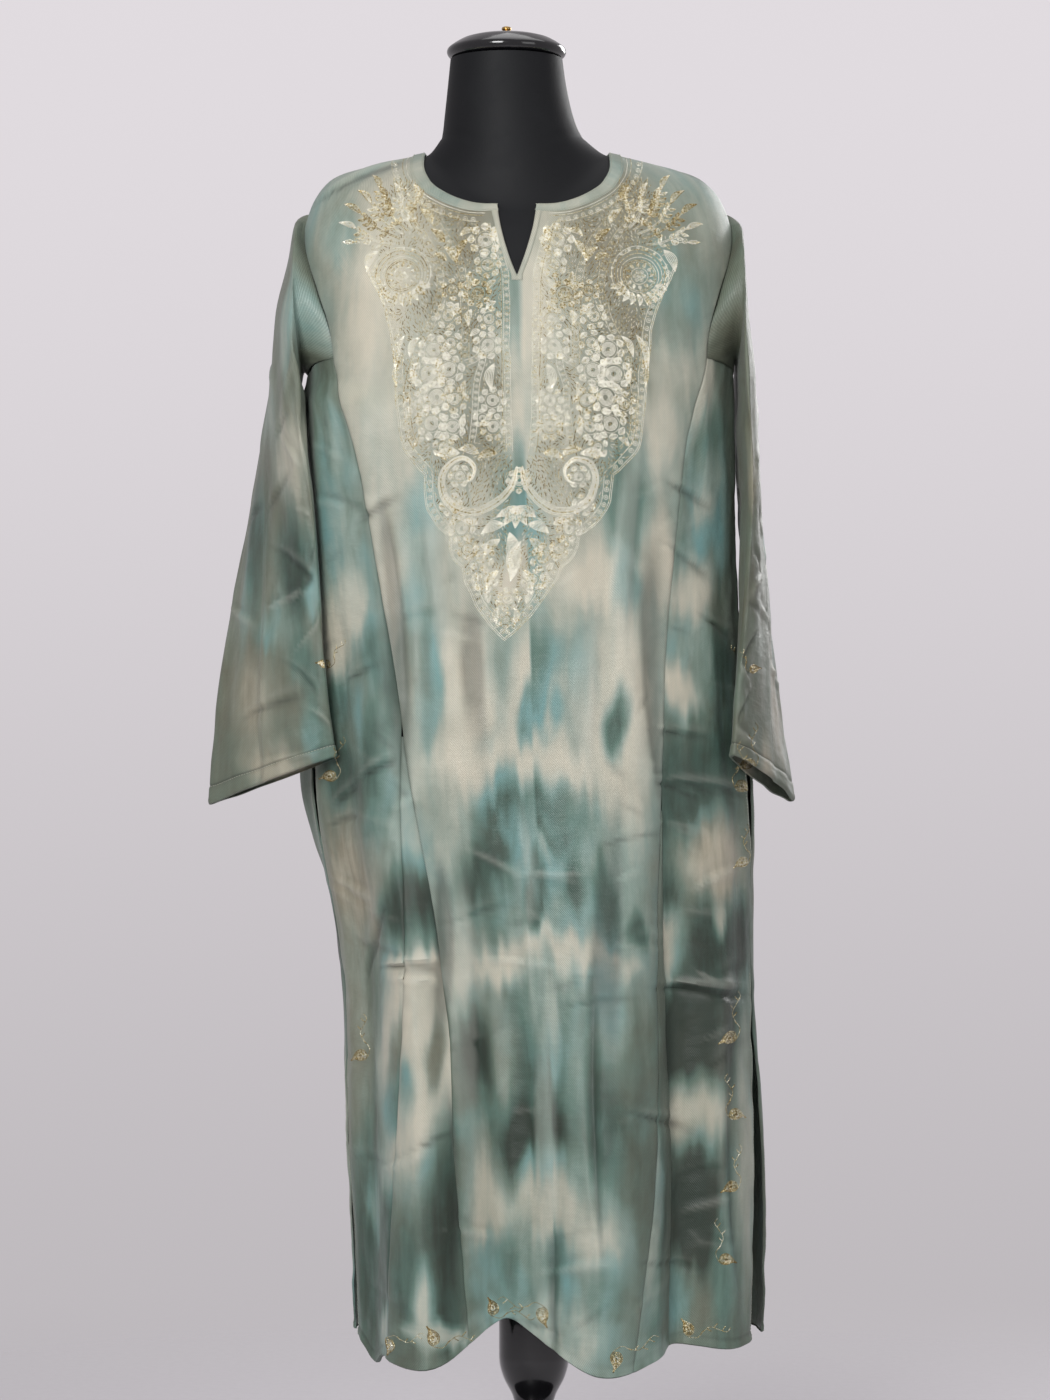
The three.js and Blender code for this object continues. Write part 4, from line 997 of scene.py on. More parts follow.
def sleeve_piece(side, material):
    """A sleeve with its stitches."""
    name = "sleeve_" + side
    outer, normal, across, uv_across, wanted, hem, point, z, painted_shade = sleeve(side)
    rows, columns = z.shape
    index = closed_round(np.arange(rows * columns).reshape(rows, columns))
    wall = cloth_wall(hem).ravel()
    quads = faces_over(index, side == "right")
    points, faces = shell(outer.reshape(-1, 3), normal.reshape(-1, 3), quads, wall)
    dye = dye_at(name, point, across)
    # the dye attribute's third value is painted shade in creases, seam grooves and the hem's line, paler on
    # ridges
    dye[..., 2] = painted_shade
    dye = dye.reshape(-1, 3)
    uv = np.stack(np.broadcast_arrays(uv_across[None, :], -wanted[:, None]), -1).reshape(-1, 2)
    piece = mesh_object(name + "_cloth", points, faces, np.tile(uv, (2, 1)), np.tile(dye, (2, 1)))
    finish_piece(piece, material, [name])
    stitch_rows(closed_round(outer), closed_round(normal), closed_round(hem))
    return piece


def cloth_piece(name, parts, faces, material):
    """A cut piece from its grids, with its stitches."""
    outer = merge_pieces(parts, "outer")
    normal = merge_pieces(parts, "normal")
    wall = merge_pieces(parts, "wall")
    used, numbered = np.unique(faces, return_inverse=True)
    points, faces = shell(outer[used], normal[used], numbered.reshape(faces.shape), wall[used])
    uv = np.tile(merge_pieces(parts, "uv")[used], (2, 1))
    dye = np.tile(merge_pieces(parts, "dye")[used], (2, 1))
    piece = mesh_object(name + "_cloth", points, faces, uv, dye)
    for part in parts:
        stitch_rows(part.outer, part.normal, part.hem, 2)
        for rows, line in part.edge_lines:
            STITCHED.append((part.outer[rows, line], part.normal[rows, line]))
    finish_piece(piece, material, [name])
    return piece


def trim_band():
    """The folded band round the neckline, from one edge of the slit round the back to the other."""
    share = np.linspace(0, 1, 9)
    right = np.linspace(SLIT_HALF_TURN, 90, 60)
    back = np.linspace(90, 270, 70)[1:-1]
    left = np.linspace(270, 360 - SLIT_HALF_TURN, 60)
    turns = np.concatenate([right, back, left])
    signed = np.where(turns > 180, turns - 360, turns)
    rows = BAND_DEPTH * share
    ends = slit_half_turn(rows)[:, None]
    off_slit = (np.abs(signed) - SLIT_HALF_TURN) / (90 - SLIT_HALF_TURN)
    turn_grid = np.where(np.abs(signed) < 90, np.sign(signed) * mix(ends, 90, off_slit), signed)
    row_grid = np.broadcast_to(rows[:, None], turn_grid.shape)
    front = np.abs(turn_grid) < 90
    down = np.where(front, below_neck(turn_grid, row_grid), row_grid)
    return turn_grid, down, share


BINDING_WIDTH = 6


def slit_bands(side):
    """The binding along one edge of the slit, from the neck band to the slit's foot."""
    sign = -1 if side == "left" else 1
    rows = np.linspace(BAND_DEPTH, SLIT_FOOT, 34)
    inner = sign * slit_half_turn(rows)
    columns = np.linspace(0, BINDING_WIDTH, 6)
    turn = np.stack([moved(inner, rows, sign * step) for step in columns], 1)
    return turn, below_neck(turn, rows[:, None])


def rounded(share):
    """A folded edge: nothing at either side, full between."""
    return np.sqrt(clamp01(1 - (2 * share - 1) ** 6))


def neck_band(material):
    turn, down, share = trim_band()
    point = body(turn, down)
    normal = body_normal(turn, down)
    lift = 0.15 + 1.05 * rounded(share)[:, None]
    outer = point + normal * lift[..., None]
    run = run_along(point[0])
    uv = np.stack([np.broadcast_to(run, turn.shape), np.broadcast_to(share[:, None] * -14, turn.shape)], -1)
    points, faces = shell(outer.reshape(-1, 3), normal.reshape(-1, 3), cell_faces(*turn.shape), 0.9)
    dye = np.zeros((turn.size, 3))
    dye[:, 0] = 0.32 + 0.16 * lattice_noise(np.tile(run / 40, len(share)), np.zeros(turn.size), 61)
    dye[:, 1] = 0.3
    uv = np.tile(uv.reshape(-1, 2), (2, 1))
    piece = mesh_object("neck_band_trim", points, faces, uv, np.tile(dye, (2, 1)))
    finish_piece(piece, material, ["neck_band"])
    return piece


def slit_binding(material):
    """The binding down both edges of the slit, as one piece."""
    all_points = []
    all_faces = []
    all_uv = []
    first = 0
    for side in ("left", "right"):
        turn, down = slit_bands(side)
        point = body(turn, down)
        normal = body_normal(turn, down)
        share = np.linspace(0, 1, turn.shape[1])
        outer = point + normal * (0.12 + 0.95 * rounded(share)[None, :, None])
        quads = cell_faces(*turn.shape, flip=side == "left")
        points, faces = shell(outer.reshape(-1, 3), normal.reshape(-1, 3), quads, 0.8)
        uv = np.stack([np.broadcast_to(share * BINDING_WIDTH, turn.shape), point[..., 2]], -1).reshape(-1, 2)
        all_points.append(points)
        all_faces.append(faces + first)
        all_uv.append(np.tile(uv, (2, 1)))
        first += len(points)
    dye = np.tile([0.2, 0.25, 0.0], (first, 1))
    made = [np.concatenate(rows) for rows in (all_points, all_faces, all_uv)]
    piece = mesh_object("slit_binding_trim", *made, dye)
    finish_piece(piece, material, ["slit_binding"])
    return piece


def eased_rings(rings, per_gap):
    """Extra rings between the given ones, on a curve that never overshoots them."""
    rings = np.asarray(rings, float)
    steps = np.maximum(np.linalg.norm(np.diff(rings, axis=0), axis=-1).mean(-1), 1e-6)
    slopes = np.diff(rings, axis=0) / steps[:, None, None]
    tangents = np.zeros_like(rings)
    product = slopes[:-1] * slopes[1:]
    both = np.where(np.abs(slopes[:-1] + slopes[1:]) < 1e-9, 1.0, slopes[:-1] + slopes[1:])
    tangents[1:-1] = np.where(product > 0, 2 * product / both, 0)
    tangents[0] = slopes[0]
    tangents[-1] = slopes[-1]
    made = []
    for i, step in enumerate(steps):
        for share in np.linspace(0, 1, max(1, round(step / per_gap)) + 1)[:-1]:
            a = 2 * share**3 - 3 * share**2 + 1
            b = (share**3 - 2 * share**2 + share) * step
            c = -2 * share**3 + 3 * share**2
            d = (share**3 - share**2) * step
            made.append(a * rings[i] + b * tangents[i] + c * rings[i + 1] + d * tangents[i + 1])
    made.append(rings[-1])
    return np.array(made)


def ring_body(name, rings, sharp=50):
    """A closed body from rings that run from the top down, with a fan over each end."""
    count = rings.shape[1]
    points = np.concatenate([rings.reshape(-1, 3), rings[:1].mean(1), rings[-1:].mean(1)])
    index = closed_round(np.arange(rings.shape[0] * count).reshape(-1, count))
    faces = faces_over(index).tolist()
    top = len(points) - 2
    bottom = len(points) - 1
    faces += [[int(index[0, j]), int(index[0, j + 1]), top] for j in range(count)]
    faces += [[int(index[-1, j + 1]), int(index[-1, j]), bottom] for j in range(count)]
    return mesh_object(name, points, faces, sharp=sharp)


NECK_SEAM_Z = 1436.0
FORM_COLUMNS = 128


def form_cover(material):
    """The form from its neck to its lower edge, with its neck seam and side seams."""
    turns = np.arange(FORM_COLUMNS) * 360 / FORM_COLUMNS
    rings = [ring_point(FORM_NECK, np.full(FORM_COLUMNS, i), turns) for i in range(len(FORM_NECK))]
    for down in FORM_RESTS:
        inset = 2 + mix(0.75, 2, smooth(0.6, 1.8, down))
        downs = np.full(FORM_COLUMNS, float(down))
        rings.append(body(turns, downs) - body_normal(turns, downs) * inset)
    rings += [ring_point(FORM_TORSO, np.full(FORM_COLUMNS, i), turns) for i in range(len(FORM_TORSO))]
    rings = eased_rings(rings, 4.0)
    height = rings[..., 2].mean(1)
    shown = (height > 1330) | (height < 300)
    rings = rings[shown | (np.arange(len(rings)) % 3 == 0)]
    outward = unit((rings - rings.mean(1, keepdims=True)) * [1, 1, 0])
    ahead = np.maximum(np.cos(np.radians(turns)), 0)
    seam_z = NECK_SEAM_Z - 9 * ahead**2
    groove = np.exp(-(((rings[..., 2] - seam_z) / 1.6) ** 2)) * (rings[..., 2] > 1395)
    side_seam = sum(np.exp(-((wrapped(turns + quarter) / 1.1) ** 2)) for quarter in (-90, 90))
    rings = rings - outward * (0.9 * groove + 0.25 * side_seam)[..., None]
    piece = ring_body("form_cover", rings)
    return finish_piece(piece, material, ["form_body"])


def turned_piece(name, profile, across, steps, fine):
    """A turned part from its profile, with every corner eased over a few fine steps."""
    rows = np.array(profile[::-1], float)
    dense = [rows[0]]
    for a, b in zip(rows[:-1], rows[1:]):
        count = max(1, round(float(np.linalg.norm(b - a)) / fine))
        dense += [mix(a, b, (i + 1) / count) for i in range(count)]
    dense = np.array(dense)
    soft = dense.copy()
    for _ in range(3):
        soft[1:-1] = soft[:-2] / 4 + soft[1:-1] / 2 + soft[2:] / 4
    soft[:, 0] = np.where(dense[:, 0] < 0.01, 0, soft[:, 0])
    soft = soft[soft[:, 0] > 0.05]
    run = unit(np.diff(soft, axis=0))
    bent = np.abs(run[:-1, 0] * run[1:, 1] - run[:-1, 1] * run[1:, 0]) > 0.003
    bent = np.concatenate([[True], bent, [True]])
    soft = soft[bent | (np.arange(len(soft)) % 8 == 0)]
    angle = np.arange(steps) * 2 * math.pi / steps
    rings = np.stack([
        across + soft[:, :1] * np.sin(angle),
        -soft[:, :1] * np.cos(angle),
        np.broadcast_to(soft[:, 1:], (len(soft), steps)),
    ], -1)
    return ring_body(name, rings, sharp=40)


# Where the yoke's middle line lies across, at each height, as the cloth hangs.
YOKE_AXIS_Z = [935, 1015, 1068, 1125]
YOKE_AXIS_X = [-29.2, -20.6, -15.7, -12.9]
THREAD_STEP = 1.25
THREAD_WIDTH = 1.35
PALE, LIGHT, GOLD, OLD = 1.0, 0.75, 0.45, 0.15  # how pale the metal thread is

# The yoke's outlines, as the distance from its middle line and the height, down one side.
OUTLINE = [
    [(150, 1297), (143, 1279), (133, 1258), (127, 1236), (124, 1212), (122, 1190), (120, 1164), (117, 1140),
     (113, 1119), (105, 1107)],
    [(105, 1107), (97, 1098), (90, 1092)],
    [(90, 1092), (90, 1078), (87, 1062), (80, 1049), (71, 1039), (62, 1033)],
    [(62, 1033), (61, 1021), (56, 1011), (47, 1003)],
    [(47, 1003), (44, 990), (37, 978), (29, 965), (19, 952), (9, 941), (0, 933)],
]
SLIT_BAND = [
    (28, 1341), (23.5, 1322), (18, 1302), (15, 1288), (14, 1270), (14, 1230), (13.5, 1183), (12.5, 1145),
    (10, 1114),
]
INNER_BAND = [(101, 1389), (97, 1364), (83, 1341), (68, 1318), (59, 1297), (55, 1270), (54, 1231), (53, 1199)]
STEP_BAND = [(53, 1199), (44, 1203), (37, 1210), (38, 1196), (43, 1178), (45, 1150), (47, 1122)]
OUTER_BAND = [
    (122, 1390), (119, 1369), (107, 1345), (93, 1325), (83, 1303), (78, 1279), (80, 1260), (89, 1235),
    (101, 1211), (108, 1183), (110, 1155), (106, 1128), (98, 1116),
]
# Filled flowers: distance from the middle line, height, radius, number of petals and how pale.
FLOWERS = [
    (35, 1323, 13, 8, LIGHT), (32, 1297, 10, 7, LIGHT), (42, 1268, 11, 8, GOLD), (30, 1243, 9, 7, LIGHT),
    (33, 1217, 11, 8, PALE), (66, 1272, 8, 6, GOLD), (70, 1246, 10, 7, LIGHT), (84, 1213, 12, 8, PALE),
    (68, 1220, 9, 6, LIGHT), (90, 1190, 13, 9, PALE), (70, 1193, 12, 8, PALE), (82, 1167, 13, 9, PALE),
    (99, 1160, 9, 6, LIGHT), (64, 1164, 10, 7, LIGHT), (86, 1141, 12, 8, PALE), (66, 1138, 10, 7, PALE),
    (28, 1163, 10, 8, PALE), (27, 1137, 10, 8, LIGHT), (38, 1146, 6, 5, PALE), (74, 1118, 8, 6, LIGHT),
    (52, 1040, 10, 7, LIGHT), (30, 1012, 10, 7, LIGHT), (22, 990, 8, 6, PALE), (44, 1020, 7, 6, GOLD),
    (64, 1063, 8, 6, LIGHT),
]
# Single leaves: distance, height, direction in degrees from outwards, length, width and how pale.
LEAVES = [
    (22, 1335, -70, 15, 6, LIGHT), (46, 1334, -30, 16, 6, GOLD), (52, 1322, -60, 18, 7, GOLD),
    (26, 1199, -84, 26, 8, PALE), (24, 1282, -50, 14, 5, LIGHT), (50, 1290, -110, 16, 6, GOLD),
    (48, 1252, -80, 16, 6, LIGHT), (24, 1260, -40, 12, 5, LIGHT), (40, 1232, -30, 11, 5, PALE),
    (62, 1300, 50, 20, 7, GOLD), (74, 1320, 48, 20, 7, OLD), (86, 1340, 52, 20, 7, GOLD),
    (98, 1366, 64, 18, 7, GOLD), (72, 1302, 30, 14, 6, GOLD),
    (60, 1258, -70, 14, 6, LIGHT), (98, 1226, -62, 22, 6, LIGHT),
    (112, 1228, -74, 34, 6, LIGHT), (117, 1205, -84, 28, 5, GOLD), (104, 1180, 80, 16, 6, LIGHT),
    (54, 1182, -90, 16, 5, LIGHT), (55, 1150, -86, 16, 5, LIGHT), (94, 1128, -40, 13, 5, LIGHT),
    (58, 1112, -5, 24, 9, LIGHT), (40, 1112, 12, 20, 8, GOLD), (22, 1112, -12, 20, 8, GOLD),
    (12, 1044, -24, 22, 9, PALE), (14, 1030, -50, 22, 8, LIGHT), (36, 1044, 12, 16, 7, PALE),
    (12, 1000, -60, 22, 7, LIGHT), (34, 998, -100, 18, 6, LIGHT), (8, 964, -86, 16, 6, LIGHT),
    (18, 968, 60, 14, 6, PALE),
]
# Buds on stems at the yoke's upper corner: distance, height, direction, length and how pale.
BUDS = [
    (100, 1333, 84, 46, GOLD), (106, 1334, 70, 52, LIGHT), (110, 1332, 58, 56, OLD),
    (114, 1328, 46, 66, GOLD), (118, 1324, 35, 66, OLD), (122, 1318, 24, 60, LIGHT),
    (118, 1340, 62, 60, GOLD),
]
MEDALLION = (115, 1287)
CURL = [
    (3, 1100), (8, 1085), (20, 1070), (36, 1061), (53, 1061), (66, 1070), (71, 1086), (66, 1100), (54, 1105),
    (45, 1098), (46, 1088), (54, 1084),
]


def along_curve(points, pitch=THREAD_STEP):
    """Points a pitch apart on a smooth curve through the given points."""
    points = np.asarray(points, float)
    rows = np.linspace(0, len(points) - 1, 16 * len(points))
    i = np.minimum(rows.astype(int), len(points) - 2)
    near = [points[np.clip(i + o, 0, len(points) - 1)] for o in (-1, 0, 1, 2)]
    return spaced(through(*near, (rows - i)[:, None]), pitch)


def spaced(curve, pitch=THREAD_STEP):
    """The same curve with its points an even pitch apart."""
    run = run_along(curve)
    wanted = np.linspace(0, run[-1], max(2, round(run[-1] / pitch) + 1))
    return np.stack([np.interp(wanted, run, curve[:, k]) for k in range(curve.shape[1])], -1)


def beside(path, distance):
    """The same path moved sideways."""
    step = unit(np.gradient(path, axis=0))
    return spaced(path + np.stack([-step[:, 1], step[:, 0]], -1) * distance)


def circle(x, z, radius, start=0.0):
    turn = np.linspace(0, 2 * math.pi, max(7, round(2 * math.pi * radius / THREAD_STEP)) + 1) + start
    return np.stack([x + radius * np.cos(turn), z + radius * np.sin(turn)], -1)


def spiral(x, z, radius, pitch=1.3):
    turns = radius / pitch
    turn = np.linspace(0.3, 1, round(turns * 34)) * turns * 2 * math.pi
    reach = radius * turn / turn[-1]
    return spaced(np.stack([x + reach * np.cos(turn), z + reach * np.sin(turn)], -1))


def leaf(x, z, degrees, length, width, tone, bend=0.12):
    """Threads laid side by side along a leaf, with its outline."""
    rows = max(2, round(width / 1.5))
    share = np.linspace(0, 1, 12)
    angle = math.radians(degrees)
    threads = []
    for row in np.linspace(-1, 1, rows + 1):
        side = width / 2 * row * np.sin(math.pi * share**0.85) + bend * length * np.sin(math.pi * share)
        along = length * share
        path = np.stack([
            x + along * math.cos(angle) - side * math.sin(angle),
            z + along * math.sin(angle) + side * math.cos(angle),
        ], -1)
        threads.append((spaced(path), THREAD_WIDTH, tone))
    return threads


def ring_dot(x, z, radius, tone):
    return [(circle(x, z, radius), 1.1, tone), (circle(x, z, radius * 0.3), 1.2, tone)]


FLOWER_SPREAD = 1.18


def flower(x, z, radius, petals, tone, turned=0.0):
    """A whorled heart in a ring, with petals laid round it."""
    radius = radius * FLOWER_SPREAD
    heart = radius * 0.5
    threads = [(spiral(x, z, heart), THREAD_WIDTH, tone), (circle(x, z, heart + 1.6), 1.0, tone - 0.3)]
    for i in range(petals):
        angle = 360 * i / petals + turned
        reach = heart + 2.4
        px = x + reach * math.cos(math.radians(angle))
        pz = z + reach * math.sin(math.radians(angle))
        width = 2 * math.pi * (heart + radius * 0.3) / petals * 0.9
        threads += leaf(px, pz, angle, radius - heart - 0.6, width, tone - 0.12 * (i % 2), 0.06)
    return threads


def dotted_band(path, gap, tone, dot=0.3, pitch=1.12):
    """Two couched lines with ring dots between them."""
    path = spaced(path)
    threads = [(beside(path, gap / 2), 1.15, tone), (beside(path, -gap / 2), 1.15, tone)]
    for x, z in spaced(path, gap * pitch)[1:-1]:
        threads += ring_dot(x, z, gap * dot, tone)
    return threads


def bud(x, z, degrees, length, tone):
    """A stem that curves up to a filled drop, with small leaves on both sides."""
    angle = math.radians(degrees)
    share = np.linspace(0, 1, 8)
    bow = 5 * np.sin(math.pi * share)
    along = length * 0.72 * share
    stem = np.stack([
        x + along * math.cos(angle) + bow * math.sin(angle),
        z + along * math.sin(angle) - bow * math.cos(angle),
    ], -1)
    threads = [(spaced(stem), 1.2, tone), (beside(stem, 1.3), 1.1, tone)]
    tip = stem[-1]
    threads += leaf(tip[0], tip[1], degrees, length * 0.3, 5.5, tone)
    for k in (2, 4, 5, 6):
        for side in (-1, 1):
            threads += leaf(stem[k, 0], stem[k, 1], degrees + side * 42, 7.5, 3.2, tone - 0.1, 0.1 * side)
    return threads


def medallion(x, z):
    """A whorl: a seeded heart, ringed, inside a wide turning band."""
    threads = []
    for i in range(7):
        turn = 2 * math.pi * i / 6
        reach = 0 if i == 6 else 4.4
        threads += ring_dot(x + reach * math.cos(turn), z + reach * math.sin(turn), 1.7, LIGHT)
    for radius in (8.2, 14.5, 16.2):
        threads.append((circle(x, z, radius), 1.15, GOLD))
    for i in range(12):
        turn = 2 * math.pi * i / 12
        px = x + 9.6 * math.cos(turn)
        pz = z + 9.6 * math.sin(turn)
        threads += leaf(px, pz, math.degrees(turn) + 20, 4.4, 2.6, GOLD)
    turn = np.radians(np.linspace(-75, 250, 60))
    for k in range(4):
        reach = 19 + 3.4 * k - 1.2 * k * smooth(100, 250, np.degrees(turn))
        path = spaced(np.stack([x + reach * np.cos(turn), z + reach * np.sin(turn)], -1))
        threads.append((path, 1.2, (LIGHT, GOLD, OLD, LIGHT)[k]))
    for i in range(17):
        angle = math.radians(-70 + 18 * i)
        threads += ring_dot(x + 27.5 * math.cos(angle), z + 27.5 * math.sin(angle), 1.35, LIGHT)
    for i in range(9):
        angle = 200 + 16 * i
        px = x + 18 * math.cos(math.radians(angle))
        pz = z + 18 * math.sin(math.radians(angle))
        threads += leaf(px, pz, angle + 12, 13, 4.6, LIGHT - 0.2 * (i % 2))
    return threads


def yoke_half():
    """Everything on one side of the yoke's middle line."""
    threads = []
    for run in OUTLINE:
        threads += dotted_band(beside(along_curve(run), -4.2), 6.8, LIGHT)
        threads.append((beside(along_curve(run), 0.8), 1.1, LIGHT))
    threads += dotted_band(along_curve(SLIT_BAND), 5.6, LIGHT)
    threads.append((beside(along_curve(SLIT_BAND), 5.0), 1.1, GOLD))
    threads += dotted_band(along_curve(INNER_BAND), 7.0, GOLD)
    threads += dotted_band(along_curve(STEP_BAND), 5.4, LIGHT)
    threads += dotted_band(along_curve(OUTER_BAND), 6.4, GOLD)
    for index, (x, z, radius, petals, tone) in enumerate(FLOWERS):
        threads += flower(x, z, radius, petals, tone, 17.0 * index)
    for row in LEAVES:
        threads += leaf(*row)
    for x, z, degrees, length, tone in BUDS:
        threads += bud(x, z, degrees, length, tone)
    threads += medallion(*MEDALLION)
    threads += leaf(139, 1313, -62, 24, 8, LIGHT, 0.16)
    threads += [(along_curve([(146, 1318), (158, 1322), (172, 1321)]), 1.3, LIGHT)]
    threads += ring_dot(150, 1322, 3.4, PALE) + ring_dot(160, 1323, 2.6, LIGHT)
    threads += leaf(163, 1322, 4, 12, 4, LIGHT, 0.0)
    curl = along_curve(CURL)
    swell = np.sin(math.pi * np.linspace(0, 1, len(curl)) ** 0.7) ** 0.7
    step = unit(np.gradient(curl, axis=0))
    side = np.stack([-step[:, 1], step[:, 0]], -1)
    for k, tone in enumerate((PALE, LIGHT, PALE, GOLD, PALE, LIGHT)):
        threads.append((spaced(curl - side * (1.5 * k * swell)[:, None]), THREAD_WIDTH, tone))
    threads += flower(57, 1090, 8, 6, LIGHT)
    return threads


def yoke_middle():
    """The leaves and flowers that stand on the yoke's middle line."""
    threads = flower(0, 1086, 9, 8, PALE)
    for degrees in (-150, -120, -90, -60, -30):
        threads += leaf(0, 1062, degrees, 22, 8, PALE, 0.0)
    threads += leaf(-5, 1036, -84, 48, 15, PALE, 0.1)
    threads += leaf(7, 1028, -98, 38, 7, LIGHT, -0.2)
    threads += flower(0, 972, 9, 7, LIGHT) + flower(0, 952, 5, 5, LIGHT)
    return threads


def inside(points, polygon):
    """Which points lie inside a closed outline."""
    x = points[:, 0]
    z = points[:, 1]
    hit = np.zeros(len(points), bool)
    for (x1, z1), (x2, z2) in zip(polygon, np.roll(polygon, -1, 0)):
        crosses = (z1 > z) != (z2 > z)
        at = x1 + (z - z1) / np.where(z2 == z1, 1e-9, z2 - z1) * (x2 - x1)
        hit ^= crosses & (x < at)
    return hit


# The top and the inner side of the ground that is filled with seed stitches, from the yoke's point up.
SEEDED_TOP = [
    (7, 933), (8, 1110), (17, 1112), (17, 1300), (32, 1336), (60, 1344), (90, 1362), (104, 1388),
    (126, 1390), (136, 1340), (148, 1310),
]
SEEDED_FOOT = 925


def seed_stitches(threads):
    """Short stitches in whatever the motifs leave bare, well inside the outline."""
    reach = (170, 480)
    taken = np.zeros(reach, bool)

    def mark(path):
        for dx in (-0.9, 0, 0.9):
            for dz in (-0.9, 0, 0.9):
                u = np.clip(np.round(path[:, 0] + dx).astype(int), 0, reach[0] - 1)
                v = np.clip(np.round(path[:, 1] + dz - SEEDED_FOOT).astype(int), 0, reach[1] - 1)
                taken[u, v] = True

    for path, _, _ in threads:
        mark(path)
    edge = np.concatenate([np.asarray(run, float) for run in OUTLINE])
    polygon = np.concatenate([edge, np.asarray(SEEDED_TOP, float)])
    rng = np.random.default_rng(7)
    grid = np.stack(np.meshgrid(np.arange(6, 160, 2.4), np.arange(936, 1392, 2.4)), -1).reshape(-1, 2)
    grid = grid + rng.uniform(-0.9, 0.9, grid.shape)
    grid = grid[inside(grid, polygon)]
    made = []
    for u, v in grid:
        if taken[int(round(u)), int(round(v - SEEDED_FOOT))]:
            continue
        angle = 2.2 * math.sin(u / 17.0 + v / 29.0) + rng.uniform(-0.5, 0.5)
        length = rng.uniform(2.4, 4.2)
        share = np.linspace(-0.5, 0.5, 4)[:, None]
        path = np.array([[u, v]]) + share * length * np.array([[math.cos(angle), math.sin(angle)]])
        mark(path)
        made.append((path, 1.2, rng.uniform(-0.15, 0.6)))
    return made


def laid_on(path, surfaces, forward):
    """Where a path of x and z meets the cloth, looking along y, with the cloth's normal there."""
    places = []
    normals = []
    for x, z in path:
        start = Vector((x * MM, -forward * 0.6, z * MM))
        best = None
        for surface in surfaces:
            hit, normal, _, distance = surface.ray_cast(start, Vector((0, forward, 0)))
            if hit is not None and (best is None or distance < best[2]):
                best = (hit, normal, distance)
        if best is None:
            places.append(None)
            normals.append(None)
        else:
            places.append(np.array(best[0]) / MM)
            normals.append(np.array(best[1]))
    return places, normals


def unbroken(places, normals):
    """The stretches of a laid path with no gap and no jump between neighbours."""
    runs = [[]]
    for index, place in enumerate(places):
        if place is None:
            runs.append([])
            continue
        if runs[-1]:
            last = places[runs[-1][-1]]
            if np.linalg.norm(place - last) > 6:
                runs.append([])
        runs[-1].append(index)
    kept = [run for run in runs if len(run) > 1]
    return [(np.array([places[i] for i in run]), np.array([normals[i] for i in run])) for run in kept]


def thread_mesh(name, laid, material):
    """Couched threads: a low ridge along each path, nipped in at every other point as it is sewn down."""
    all_points = []
    all_faces = []
    all_uv = []
    all_values = []
    first = 0
    rng = np.random.default_rng(11)
    for place, normal, width, tone in laid:
        count = len(place)
        along = unit(np.gradient(place, axis=0))
        normal = unit(normal - along * np.sum(normal * along, -1, keepdims=True))
        side = np.cross(along, normal)
        nip = 1 - 0.3 * (np.arange(count) % 2)
        half = (width / 2 * nip)[:, None]
        high = (0.5 * width * (0.75 + 0.25 * nip))[:, None]
        rows = np.stack([
            place - side * half - normal * 0.12,
            place + normal * high,
            place + side * half - normal * 0.12,
        ], 1)
        index = first + np.arange(count * 3).reshape(count, 3)
        all_faces += faces_over(closed_round(index), True).tolist()
        all_faces += [index[0].tolist(), index[-1][::-1].tolist()]
        all_points.append(rows.reshape(-1, 3))
        run = run_along(place) + rng.uniform(0, 50)
        all_uv.append(np.stack([np.repeat(run, 3), np.tile([-0.6, 0.0, 0.6], count)], -1))
        all_values.append(np.tile([tone, rng.uniform(), 0.0], (count * 3, 1)))
        first += count * 3
    points, uv, values = [np.concatenate(rows) for rows in (all_points, all_uv, all_values)]
    return finish_piece(mesh_object(name, points, all_faces, uv, values, None), material)


def surface_of(name):
    """A piece's surface, ready for rays."""
    mesh = bpy.data.objects[name].data
    points = np.empty(len(mesh.vertices) * 3)
    mesh.vertices.foreach_get("co", points)
    faces = [tuple(face.vertices) for face in mesh.polygons]
    return BVHTree.FromPolygons([tuple(point) for point in points.reshape(-1, 3)], faces)


def lay_threads(threads, surfaces, forward=1):
    """Threads laid on the cloth, cut where they leave it."""
    laid = []
    for path, width, tone in threads:
        for place, normal in unbroken(*laid_on(path, surfaces, forward)):
            laid.append((place, normal, width, tone))
    return laid


def yoke_place(path, side, seed):
    """From the yoke's own distances to across and height, a little uneven as handwork is."""
    u = path[:, 0] + 0.9 * lattice_noise(path[:, 0] / 14, path[:, 1] / 14, seed)
    z = path[:, 1] + 0.9 * lattice_noise(path[:, 0] / 14, path[:, 1] / 14, seed + 1)
    return np.stack([np.interp(z, YOKE_AXIS_Z, YOKE_AXIS_X) + side * u, z], -1)


def neckline_threads(side):
    """The dotted band under the neck band, on the garment's own turns and rows."""
    turn = np.linspace(15.5, 87, 60)
    lines = []
    for row in (0.43, 0.52, 0.6, 0.68, 0.75):
        point = body(side * turn, below_neck(side * turn, row + 0 * turn))
        lines.append(spaced(point[:, [0, 2]]))
    threads = [(lines[0], 1.15, LIGHT), (lines[1], 1.0, GOLD), (lines[4], 1.15, GOLD)]
    for x, z in spaced(lines[3], 7.5)[1:-1]:
        threads += ring_dot(x, z, 2.1, LIGHT)
    return threads


